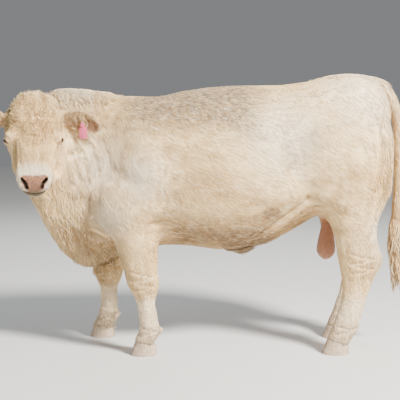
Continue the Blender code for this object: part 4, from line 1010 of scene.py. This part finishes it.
# %% The skin's material
def skin_material():
    recipe = Recipe("short_fur", 0.78)
    lay = recipe.channels("lay")[:3]
    strands = recipe.grain(lay, [330.0] * 3, [9.0] * 3, 2.0)
    locks = recipe.grain(lay, [75.0] * 3, [4.0] * 3, 2.0)
    bare = recipe.channels("marks")[0]
    pebbles = recipe.node("ShaderNodeTexVoronoi", feature="DISTANCE_TO_EDGE")
    pebbles.inputs["Scale"].default_value = 330.0
    recipe.join(recipe.node("ShaderNodeTexCoord").outputs["Object"], pebbles.inputs["Vector"])
    leather = recipe.spread(pebbles.outputs["Distance"], 0.0, 0.25)
    hairy = recipe.math("SUBTRACT", 1.0, bare)
    height = recipe.times(recipe.plus(recipe.times(strands, 0.35), locks), hairy)
    height = recipe.plus(height, recipe.times(leather, recipe.times(bare, 0.22)))
    recipe.finish("Normal", recipe.bump(height, 0.006))
    # The same noise as the bump: painted shade in its grooves and painted highlight on its ridges.
    tone = recipe.spread(recipe.plus(recipe.times(locks, 0.6), recipe.times(strands, 0.4)), 0.3, 0.7)
    recipe.finish("Base Color", animal_colour(recipe, tone))
    recipe.finish("Roughness", recipe.spread(bare, 0.0, 1.0, 0.8, 0.3))
    return recipe.material


def hair_material():
    recipe = Recipe("coat_hair", 0.62)
    tuft = recipe.attribute("tuft").outputs["Fac"]
    tip = recipe.attribute("tip").outputs["Fac"]
    # tip paints shade deep in the coat, darker at the root and paler at the tip. tuft varies at random.
    tone = recipe.plus(recipe.plus(recipe.times(tuft, 0.45), recipe.times(tip, 0.45)), 0.08)
    recipe.finish("Base Color", animal_colour(recipe, tone))
    return recipe.material


def colour_attribute(mesh, name, rows):
    data = mesh.attributes.new(name, "FLOAT_COLOR", "POINT").data
    data.foreach_set("color", rows.astype(np.float32).ravel())


def value_attribute(mesh, name, values):
    mesh.attributes.new(name, "FLOAT", "POINT").data.foreach_set("value", values.astype(np.float32))


def dress_skin():
    co, normals = points_of(skin), normals_of(skin)
    colour_attribute(skin.data, "marks", markings(co, normals))
    colour_attribute(skin.data, "lay", lay_shares(co))
    skin.data.materials.clear()
    skin.data.materials.append(skin_material())


dress_skin()
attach(skin, "root")
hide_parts(*[name for name in FLESH if not name.startswith("eye")])
print("skin dressed")

# %% [markdown]
# ## Making tufts
# A tuft is a slim three-sided lock that leaves the skin, bends along the lie of the hair and ends in
# a point. Particle hair would be quick, but it isn't mesh and an export drops it. So all the tufts of
# a region are laid out as arrays and become one mesh. Each tuft keeps a small patch of the skin's
# unwrap, so that a bake gives it its own colour.

# %% Sampling the skin
triangle_corners = np.empty(len(skin.data.polygons) * 3, np.int64)
skin.data.polygons.foreach_get("vertices", triangle_corners)
triangle_corners = triangle_corners.reshape(-1, 3)
skin_points, skin_normals = points_of(skin), normals_of(skin)
corners = skin_points[triangle_corners]
triangle_middles = corners.mean(axis=1)
triangle_areas = 0.5 * np.linalg.norm(
    np.cross(corners[:, 1] - corners[:, 0], corners[:, 2] - corners[:, 0]), axis=1
)
print("skin area", round(float(triangle_areas.sum()), 2), "m2")


def scatter(share_of, spacing, seed):
    """Even roots on the skin where share_of is above 0, with their normals."""
    draw = np.random.default_rng(seed)
    shares = np.clip(share_of(triangle_middles), 0, 1)
    weights = triangle_areas * (shares > 0.02)
    count = int(3.5 * weights.sum() / spacing**2)
    chosen = draw.choice(len(weights), count, p=weights / weights.sum())
    a, b = draw.random((2, count))
    a, b = np.where(a + b > 1, 1 - a, a), np.where(a + b > 1, 1 - b, b)
    mix = np.stack([1 - a - b, a, b], axis=-1)[:, :, None]
    places = (skin_points[triangle_corners[chosen]] * mix).sum(axis=1)
    normals = unit((skin_normals[triangle_corners[chosen]] * mix).sum(axis=1))
    kept = draw.random(count) < np.sqrt(shares[chosen])
    places, normals = places[kept], normals[kept]
    cells = np.floor(places / spacing).astype(np.int64) @ np.array((73856093, 19349663, 83492791))
    first = np.unique(cells, return_index=True)[1]
    return places[first], normals[first], draw


# %% The skin's unwrap
# Tiles of the unwrap: left edge, lower edge, width and height, for the six ways a face can look
def tile_table():
    tiles = np.empty((7, 6, 4))
    tiles[0] = (
        (0.25, 0.53, 0.25, 0.2), (0, 0.53, 0.25, 0.2), (0.5, 0, 0.5, 0.33), (0, 0, 0.5, 0.33),
        (0, 0.33, 0.5, 0.2), (0.5, 0.33, 0.5, 0.2)
    )
    for way in range(6):
        tiles[1, way] = (0.5 + way / 12, 0.53, 1 / 12, 0.2)
        for k in range(5):
            tiles[2 + k, way] = ((k * 6 + way) / 30, 0.74, 1 / 30, 0.26)
    return tiles


TILES = tile_table()


def unwrap(co, normals):
    """A place on the unwrap: body, head, four legs and tail, each seen from six sides."""
    x, y = co[:, :2].T
    part = np.zeros(len(co), int)
    part[head_share(co) > 0.5] = 1
    part[ear_share(co) > 0.5] = 1
    legs = leg_share(co) > 0.5
    part[legs] = 2 + 2 * (x[legs] > 0.1) + (y[legs] > 0)
    part[tail_share(co) > 0.5] = 6
    strongest = abs(normals).argmax(axis=1)
    positive = normals[np.arange(len(co)), strongest] > 0
    tile = TILES[part, 2 * strongest + np.where(positive, 0, 1)]
    lows = np.array(
        (
            (-1.1, -0.7, 0.3), (-1.1, -0.8, 0.7), (-0.7, -0.4, 0), (-0.7, 0, 0), (0.5, -0.4, 0),
            (0.5, 0, 0), (0.8, -0.1, 0.3)
        )
    )
    spans = np.array(
        (
            (2.2, 1.1, 1.2), (0.8, 0.8, 0.7), (0.6, 0.5, 0.7), (0.6, 0.5, 0.7), (0.6, 0.5, 0.7),
            (0.6, 0.5, 0.7), (0.4, 0.2, 1.2)
        )
    )
    share = np.clip((co - lows[part]) / spans[part], 0.01, 0.99)
    rows = np.arange(len(co))
    first = share[rows, np.where(strongest == 0, 1, 0)]
    second = share[rows, np.where(strongest == 2, 1, 2)]
    return np.stack([tile[:, 0] + tile[:, 2] * first, tile[:, 1] + tile[:, 3] * second], axis=-1)


# %% Laying out tufts as one mesh
PATCH = 0.003
hair = hair_material()
coat_triangles = 0


def tufts(
    name, places, normals, ways, draw, length, width, rings, lift=0.1, sink=0.1, wave=0.0, waves=1.0,
    curl=0.0, turns=1.0, droop=0.0, flat=0.45, marks=None
):
    """One mesh of tufts. Lengths are in metres, the rest are shares of a tuft's own length."""
    global coat_triangles
    count = len(places)
    size = length * draw.uniform(0.75, 1.25, count)[:, None]
    half = 0.5 * width * draw.uniform(0.75, 1.25, count)[:, None]
    phase = draw.uniform(0, 2 * math.pi, count)[:, None]
    hand = np.where(draw.random(count) < 0.5, -1.0, 1.0)[:, None]
    across = unit(np.cross(normals, ways))
    steps = np.linspace(0, 1, rings + 1)
    centres = []
    for t in steps:
        forward = size * t * (1 - 0.35 * min(curl * 8, 1))
        rise = size * (
            lift * math.sin(math.pi * min(t * 0.85 + 0.05, 1)) - sink * (1 - t) ** 3 - droop * t * t
        )
        shift = size * wave * (np.sin(2 * math.pi * waves * t + phase) - np.sin(phase))
        if curl:
            turn = 2 * math.pi * turns * t
            forward = forward + size * curl * math.sin(turn)
            rise = rise + size * curl * (1 - math.cos(turn))
            shift = shift + size * curl * 0.8 * hand * math.sin(turn * 0.5)
        centres.append(places + ways * forward + normals * rise + across * shift)
    centres = np.array(centres)
    tangents = unit(np.gradient(centres, axis=0))
    crown = unit(np.cross(tangents, across[None]))
    swell = [0.75 + 0.25 * math.sin(math.pi * t) - 0.35 * t * t for t in steps]
    rows = []
    for k in range(rings):
        reach = half * swell[k]
        rows += [
            centres[k] - across * reach, centres[k] + across * reach,
            centres[k] + crown[k] * reach * 2 * flat
        ]
    rows.append(centres[-1])
    points = np.stack(rows, axis=1)
    per = points.shape[1]
    faces = [(0, 1, 2)]
    for k in range(rings - 1):
        a, b = 3 * k, 3 * k + 3
        for i, j in ((0, 1), (1, 2), (2, 0)):
            faces += [(a + i, b + i, b + j), (a + i, b + j, a + j)]
    a = 3 * (rings - 1)
    faces += [(a, per - 1, a + 1), (a + 1, per - 1, a + 2), (a + 2, per - 1, a)]
    faces = np.array(faces)
    one = points[0][faces]
    volume = np.sum(np.cross(one[:, 0], one[:, 1]) * one[:, 2])
    if volume < 0:
        faces = faces[:, ::-1]
    corners = (np.arange(count)[:, None, None] * per + faces[None]).ravel()
    mesh = bpy.data.meshes.new(name)
    mesh.vertices.add(count * per)
    mesh.vertices.foreach_set("co", (points + SHIFT).astype(np.float32).ravel())
    mesh.loops.add(len(corners))
    mesh.loops.foreach_set("vertex_index", corners.astype(np.int32))
    mesh.polygons.add(len(corners) // 3)
    mesh.polygons.foreach_set("loop_start", np.arange(0, len(corners), 3, dtype=np.int32))
    mesh.polygons.foreach_set("use_smooth", np.ones(len(corners) // 3, bool))
    mesh.update(calc_edges=True)
    spots = unwrap(places, normals)
    levels = np.repeat(np.append(np.repeat(steps[:-1], 3), 1.0)[None], count, axis=0)
    sides = np.append(np.tile((0.0, 1.0, 0.5), rings), 0.5)
    corner_spots = spots[:, None] + PATCH * (
        np.stack([np.broadcast_to(sides, levels.shape), levels], axis=-1) - 0.5
    )
    layer = mesh.uv_layers.new(name="OFBake")
    layer.data.foreach_set("uv", corner_spots.reshape(-1, 2)[corners].astype(np.float32).ravel())
    root_marks = markings(places, normals) if marks is None else np.broadcast_to(
        np.array(marks, float), (count, 4)
    )
    colour_attribute(mesh, "marks", np.repeat(root_marks, per, axis=0))
    colour_attribute(mesh, "lay", np.repeat(lay_shares(places), per, axis=0))
    value_attribute(mesh, "tip", levels.ravel())
    value_attribute(mesh, "tuft", np.repeat(draw.random(count), per))
    made = bpy.data.objects.new(name, mesh)
    bpy.context.scene.collection.objects.link(made)
    mesh.materials.append(hair)
    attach(made, "root")
    coat_triangles += len(corners) // 3
    print(name, count, "tufts,", len(corners) // 3, "triangles")
    return made


# %% [markdown]
# ## The coat, region by region
# Longest and curliest on the poll and the nape, wavy down the neck and the brisket, short and flat on
# the flanks and legs, and finest on the face. Each region fades into the next, because the shares are
# soft and roots are drawn by them.

# %% Regions of hair
def bare_share(co):
    slits = []
    for side, centre in EYES.items():
        look, slit, rise = eye_axes(side)
        away = co - centre
        slits.append(
            (
                almond(away @ slit, away @ rise) < 0.0035
            ) & (np.linalg.norm(away, axis=1) < 0.034) & (away @ look > 0)
        )
    lips = smooth(to_line(co, mouth), 0.015, 0.01)
    return np.maximum.reduce(
        [pad_share(co), *slits, scrotum_share(co), lips, smooth(to_nostrils(co), 0.021, 0.017)]
    )


def curl_share(co):
    """Curls cover the forehead and run down to a point between the eyes."""
    along, out, left = to_head(co).T
    end = 0.265 - 9.0 * left**2
    crown = head_share(co) * smooth(
        along, end + 0.035, end - 0.045
    ) * smooth(out, -0.03, 0.02) * (1 - ear_share(co))
    return crown * (1 - bare_share(co))


def curl_size(co):
    return 0.5 + 0.5 * smooth(to_head(co)[:, 0], 0.23, 0.12)


def face_size(co):
    return 1 - 0.45 * smooth(to_head(co)[:, 0], 0.36, 0.44)


def face_share(co):
    return head_share(co) * (1 - ear_share(co)) * (1 - 0.6 * curl_share(co)) * (1 - bare_share(co))


def throat_share(co):
    return neck_share(co) * (1 - hump_share(co)) * (1 - ear_share(co))


def limb_share(co):
    return leg_share(co) * (1 - bare_share(co)) * smooth(co[:, 2], 0.05, 0.07)


def trunk_share(co):
    rest = 1 - np.maximum.reduce(
        [head_share(co), neck_share(co), leg_share(co), ear_share(co), hump_share(co), bare_share(co)]
    )
    return np.clip(rest, 0, 1)


def swirl(co):
    """How far the hair turns aside here: neighbours turn together, so that the coat parts in waves."""
    x, y, z = co.T
    return np.sin(
        41 * x + 2.1 * np.sin(19 * z + 7 * y)
    ) * np.cos(31 * z - 1.7 * np.sin(23 * x)) + 0.5 * np.sin(83 * x + 67 * z + 51 * y)


def grow(name, share_of, spacing, seed, **shape):
    places, normals, draw = scatter(share_of, spacing, seed)
    ways = lie_of(places, normals)
    if "size_of" in shape:
        shape["length"] = shape["length"] * shape.pop("size_of")(places)[:, None]
    turn = draw.normal(0, shape.pop("jitter"), len(places)) + shape.pop("swirl", 0.2) * swirl(places)
    ways = unit(ways + np.cross(normals, ways) * turn[:, None])
    return tufts(name, places, normals, ways, draw, **shape)


grow(
    "curls_poll", curl_share, 0.0053, 1, length=0.023, width=0.0027, rings=5, curl=0.15, turns=0.9,
    lift=0.09, wave=0.06, jitter=0.8, swirl=0.5, size_of=curl_size
)
grow(
    "hair_nape", hump_share, 0.007, 2, length=0.06, width=0.0034, rings=5, curl=0.02, turns=0.8, lift=0.09,
    wave=0.06, waves=1.2, jitter=0.25, swirl=0.45
)
grow(
    "hair_face", face_share, 0.0054, 3, length=0.0135, width=0.0018, rings=2, lift=0.06, sink=0.06,
    jitter=0.1, swirl=0.08, size_of=face_size
)
for side, label in ((-1, "left"), (1, "right")):
    grow(
        f"hair_neck_{label}", lambda co: throat_share(co) * (co[:, 1] * side > 0), 0.0068, 4 + side,
        length=0.044, width=0.0024, rings=2, lift=0.045, sink=0.05, wave=0.02, jitter=0.08, swirl=0.14
    )
    for part, low, high in (("fore", -9, 0.25), ("rear", 0.25, 9)):
        grow(
            f"hair_trunk_{part}_{label}",
            lambda co: trunk_share(co) * (co[:, 1] * side > 0) * (co[:, 0] > low) * (co[:, 0] <= high),
            0.01, 8 + side, length=0.031, width=0.0026, rings=2, lift=0.034, sink=0.05, jitter=0.09,
            swirl=0.05
        )
    grow(
        f"hair_legs_{label}", lambda co: limb_share(co) * (co[:, 1] * side > 0), 0.008, 12 + side,
        length=0.02, width=0.0024, rings=2, lift=0.05, sink=0.06, jitter=0.1, swirl=0.1
    )


# %% Long hair of the ears, belly and brisket
def ear_fringe(co):
    reach, rise, front = in_ear(co).T
    return ear_share(co) * smooth(rise, 0.016, 0.03) * (reach > 0.015) * (reach < 0.125) * (front > -0.016)


def rump_crest(co):
    crest = line_share(
        co, ((0.7, 0, 1.43), (0.86, 0, 1.41), (0.93, 0, 1.36)), 0.06
    ) * smooth(co[:, 2], 1.32, 1.38)
    rear = line_share(on_left(co), ((0.93, -0.1, 1.28), (0.95, -0.14, 1.1), (0.93, -0.17, 0.92)), 0.05)
    return np.maximum(crest, rear) * (1 - tail_share(co))


def sheath_tuft(co):
    return ball_share(co, (0.19, 0.0, 0.51), 0.035) * (co[:, 2] < 0.535)


def belly_line(co):
    return line_share(
        co, ((-0.2, 0, 0.54), (0.1, 0, 0.52), (0.6, 0, 0.7)), 0.09
    ) * (1 - leg_share(co)) * (1 - scrotum_share(co))


def brisket_line(co):
    return line_share(
        co, ((-0.76, -0.18, 0.8), (-0.66, -0.06, 0.52), (-0.5, 0, 0.45), (-0.36, 0, 0.5)), 0.07
    )


grow(
    "hair_ears", ear_share, 0.0047, 21, length=0.024, width=0.0017, rings=3, lift=0.08, wave=0.04,
    jitter=0.22
)
grow(
    "hair_belly", belly_line, 0.011, 22, length=0.038, width=0.0036, rings=3, lift=0.12, wave=0.05,
    jitter=0.2
)
grow(
    "hair_brisket", brisket_line, 0.0095, 23, length=0.055, width=0.0042, rings=4, lift=0.11, wave=0.06,
    jitter=0.2
)
grow(
    "hair_rump", rump_crest, 0.0098, 25, length=0.044, width=0.0032, rings=3, lift=0.15, wave=0.06,
    jitter=0.35, swirl=0.5
)
places, normals, draw = scatter(ear_fringe, 0.0058, 26)
fringe_ways = np.where(
    to_head(places)[:, 2:] > 0, EAR_AXES[1][0], EAR_AXES[-1][0]
) * 0.25 - UP * 0.9 + EAR_AXES[1][2] * 0.3
fringe_ways = unit(fringe_ways - normals * np.sum(fringe_ways * normals, axis=1, keepdims=True) * 0.7)
tufts(
    "fringe_ears", places, normals, fringe_ways, draw, length=0.062, width=0.0022, rings=5, lift=0.12,
    sink=0.04, wave=0.05, waves=1.1
)
grow(
    "hair_sheath", sheath_tuft, 0.006, 24, length=0.05, width=0.0034, rings=5, lift=0.28, wave=0.06,
    jitter=0.3
)
print("coat so far:", coat_triangles, "triangles")

# %% [markdown]
# ## The tail switch
# The tail ends in a brush of hair some 40 cm long. It could be a solid cone, but light must find its
# way between the locks. So long wavy locks hang round a slim core, and end at uneven heights.

# %% Switch
SWITCH_TOP = 0.68
SWITCH_LOCKS = 420
draw = np.random.default_rng(31)
heights = SWITCH_TOP - 0.235 * draw.random(SWITCH_LOCKS) ** 1.3
angles = draw.uniform(0, 2 * math.pi, SWITCH_LOCKS)
outward = np.stack([np.cos(angles), np.sin(angles), np.zeros(SWITCH_LOCKS)], axis=-1)
core = np.interp(heights, (0.4, 0.52, 0.64, 0.68), (0.012, 0.02, 0.028, 0.033))
roots = np.stack(
    [1.034 + 0.04 * (0.65 - heights), np.zeros(SWITCH_LOCKS), heights], axis=-1
) + outward * core[:, None] * 0.8
down = np.broadcast_to(np.array((0.03, 0.0, -1.0)), roots.shape)
ways = unit(down + outward * draw.uniform(0.02, 0.16, SWITCH_LOCKS)[:, None])
outward = unit(outward - ways * np.sum(outward * ways, axis=1, keepdims=True))
switch = tufts(
    "tail_switch_hair", roots, outward, ways, draw, length=0.15, width=0.0085, rings=9, lift=0.05,
    sink=0.02, wave=0.035, waves=1.6, droop=0.05, flat=0.4, marks=(0, 0.55, 0.12, 0)
)
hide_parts("tail_switch")
bpy.ops.mesh.primitive_cone_add(
    vertices=24, radius1=0.006, radius2=0.0265, depth=0.25,
    location=tuple(np.array((1.038, 0, 0.53)) + SHIFT)
)
switch_core = bpy.context.object
switch_core.name = "tail_switch_core"
bpy.ops.object.transform_apply(location=True, rotation=True, scale=True)
colour_attribute(
    switch_core.data, "marks", np.tile((0, 0.6, 0.2, 0.0), (len(switch_core.data.vertices), 1))
)
value_attribute(switch_core.data, "tip", np.zeros(len(switch_core.data.vertices)))
value_attribute(switch_core.data, "tuft", np.zeros(len(switch_core.data.vertices)))
switch_core.data.materials.append(hair)
bpy.ops.object.shade_smooth()
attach(switch_core, "root")

# %% [markdown]
# ## Eyes
# An eyeball is a wet ball with a bulge over a dark brown iris and a pupil that lies flat. Its rings of
# colour come from how far each point is from the way it looks, and its inner corner is pink.

# %% Eyeballs
def eye_material():
    recipe = Recipe("wet_eye", 0.04)
    gaze = recipe.attribute("gaze")
    split = recipe.node("ShaderNodeSeparateXYZ")
    recipe.join(gaze.outputs["Vector"], split.inputs["Vector"])
    wide, tall = split.outputs[:2]
    wide_squared, tall_squared = recipe.times(wide, wide), recipe.times(tall, tall)
    ring = recipe.math("SQRT", recipe.plus(wide_squared, tall_squared))
    squashed = recipe.math("SQRT", recipe.plus(wide_squared, recipe.times(tall_squared, 3.2)))
    fibres = recipe.noise(900.0, detail=3)
    iris = recipe.mix(fibres, (0.04, 0.018, 0.009), (0.012, 0.006, 0.004))
    white = recipe.mix(recipe.noise(120.0), (0.2, 0.1, 0.07), (0.1, 0.05, 0.04))
    colour = recipe.mix(recipe.spread(ring, 0.64, 0.72), iris, white)
    colour = recipe.mix(recipe.spread(squashed, 0.4, 0.34), colour, (0.004, 0.004, 0.006))
    corner = recipe.mix(recipe.noise(260.0), (0.62, 0.24, 0.13), (0.42, 0.13, 0.09))
    colour = recipe.mix(recipe.attribute("corner").outputs["Fac"], colour, corner)
    recipe.finish("Base Color", colour)
    recipe.shader.inputs["Coat Weight"].default_value = 1.0
    recipe.shader.inputs["Coat Roughness"].default_value = 0.02
    return recipe.material


eye_finish = eye_material()
for name, side in (("eye_left", 1), ("eye_right", -1)):
    look, slit, rise = eye_axes(side)
    deselect()
    bpy.ops.mesh.primitive_uv_sphere_add(segments=48, ring_count=24, radius=EYE_RADIUS - 0.0003)
    eye = bpy.context.object
    eye.name = eye.data.name = f"{name}_ball"
    co = points_of(eye) + SHIFT
    toward = unit(co)
    ahead = toward @ look
    bulge = 1 + 0.035 * smooth(ahead, 0.76, 0.92)
    level = unit(np.cross(UP, look))
    gaze = np.stack([toward @ level, toward @ np.cross(look, level), ahead], axis=-1)
    value_attribute(eye.data, "corner", smooth(toward @ slit, -0.42, -0.6))
    eye.data.attributes.new("gaze", "FLOAT_VECTOR", "POINT").data.foreach_set(
        "vector", gaze.astype(np.float32).ravel()
    )
    set_points(eye, EYES[side] + co * bulge[:, None])
    eye.data.materials.append(eye_finish)
    bpy.ops.object.shade_smooth()
    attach(eye, "root")
    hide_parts(name)
print("eyes made")

# %% [markdown]
# ## Claws and dewclaws
# Each hoof is two claws of horn. The CAD claws have the true outline but flat facets, so a copy of
# each is rounded by a subdivision, the claws by a bevel as well, and the horn has faint rings.

# %% Claws
def horn_material():
    recipe = Recipe("hoof_horn", 0.46)
    grain = recipe.noise(26.0, (0, 0, 1), 0.25, 3.0)
    streaks = recipe.noise(150.0, (0, 0, 1), 7.0, 2.0)
    colour = recipe.mix(recipe.spread(grain, 0.3, 0.7), (0.64, 0.48, 0.34), (0.42, 0.29, 0.2))
    colour = recipe.mix(recipe.spread(streaks, 0.42, 0.72, 0.0, 0.6), colour, (0.74, 0.62, 0.48))
    height = recipe.plus(recipe.noise(190.0, (0, 0, 1), 0.22, 2.0), recipe.times(streaks, 0.5))
    recipe.finish("Normal", recipe.bump(height, 0.0015))
    recipe.finish("Base Color", colour)
    return recipe.material


horn = horn_material()
for name in sorted(nodes):
    if "claw" not in name:
        continue
    made = merged_copy(name, "horn")
    if name.startswith("claw"):
        apply_modifier(
            made, "BEVEL", width=0.0025, segments=2, limit_method="ANGLE", angle_limit=math.radians(40)
        )
    apply_modifier(made, "SUBSURF", levels=2, render_levels=2)
    co = points_of(made)
    co[:, 2] = np.maximum(co[:, 2], 0.0) if name.startswith("claw") else co[:, 2]
    set_points(made, co)
    made.data.materials.clear()
    made.data.materials.append(horn)
    pick(made)
    bpy.ops.object.shade_smooth()
    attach(made, "root")
    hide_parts(name)
print("claws made")

# %% [markdown]
# ## Ear tag
# A plain flag of soft plastic hangs from a stud through the ear. It carries no number. The CAD
# outline is right, so its copy only gets rounded edges.

# %% Tag
def tag_material():
    recipe = Recipe("tag_plastic", 0.42)
    worn = recipe.spread(recipe.noise(90.0, detail=4), 0.35, 0.75)
    recipe.finish("Base Color", recipe.mix(worn, (0.74, 0.09, 0.22), (0.82, 0.2, 0.32)))
    recipe.finish("Normal", recipe.bump(recipe.noise(420.0), 0.0004))
    recipe.shader.inputs["Subsurface Weight"].default_value = 0.15
    recipe.shader.inputs["Subsurface Radius"].default_value = (0.004, 0.002, 0.002)
    return recipe.material


tag_finish = tag_material()
for name in ("ear_tag", "tag_stud"):
    made = merged_copy(name, "plastic")
    apply_modifier(
        made, "BEVEL", width=0.0007, segments=3, limit_method="ANGLE", angle_limit=math.radians(30)
    )
    made.data.materials.clear()
    made.data.materials.append(tag_finish)
    pick(made)
    bpy.ops.object.shade_smooth_by_angle(angle=math.radians(35))
    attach(made, "root")
    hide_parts(name)

# %% [markdown]
# ## Floor, light and camera
# A pale floor, the main soft light from high on the right, and weak ones from the left and behind.
# The camera stands some five metres off, a little below the bull's back, and looks slightly down.

# %% Stage
def stage_material():
    recipe = Recipe("pale_floor", 0.9)
    recipe.shader.inputs["Base Color"].default_value = (0.74, 0.74, 0.73, 1)
    return recipe.material


deselect()
bpy.ops.mesh.primitive_plane_add(size=30, location=(0, 0, 0))
floor = bpy.context.object
floor.name = "floor"
floor.data.materials.append(stage_material())
floor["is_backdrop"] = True

LIGHTS = (
    ("key", (4.0, -3.8, 5.2), 1.5, 1900),
    ("fill", (-4.8, -4.4, 2.4), 4.0, 80),
    ("back", (-0.5, 4.5, 4.5), 4.0, 150),
)
for name, place, size, power in LIGHTS:
    way = Vector((0, 0, 0.8)) - Vector(place)
    bpy.ops.object.light_add(type="AREA", location=place, rotation=way.to_track_quat("-Z", "Y").to_euler())
    lamp = bpy.context.object
    lamp.name = name
    lamp.data.shape = "DISK"
    lamp.data.size = size
    lamp.data.energy = power
    lamp.data.color = (1.0, 0.96, 0.89) if name == "key" else (0.93, 0.97, 1.0)
world = bpy.data.worlds.new("studio")
bpy.context.scene.world = world
world.use_nodes = True
world.node_tree.nodes["Background"].inputs["Color"].default_value = (0.93, 0.96, 1.0, 1)
world.node_tree.nodes["Background"].inputs["Strength"].default_value = 0.24

CAMERA_BACK = 5.25
CAMERA_HEIGHT = 1.289
CAMERA_TILT = math.radians(5.57)
CAMERA_LENS = 90.18
place = Vector((0, -CAMERA_BACK, CAMERA_HEIGHT)) + Vector(SHIFT)
bpy.ops.object.camera_add(location=place, rotation=(math.pi / 2 - CAMERA_TILT, 0, 0))
camera = bpy.context.object
camera.data.lens = CAMERA_LENS
bpy.context.scene.camera = camera

# %% Sizes
low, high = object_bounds()
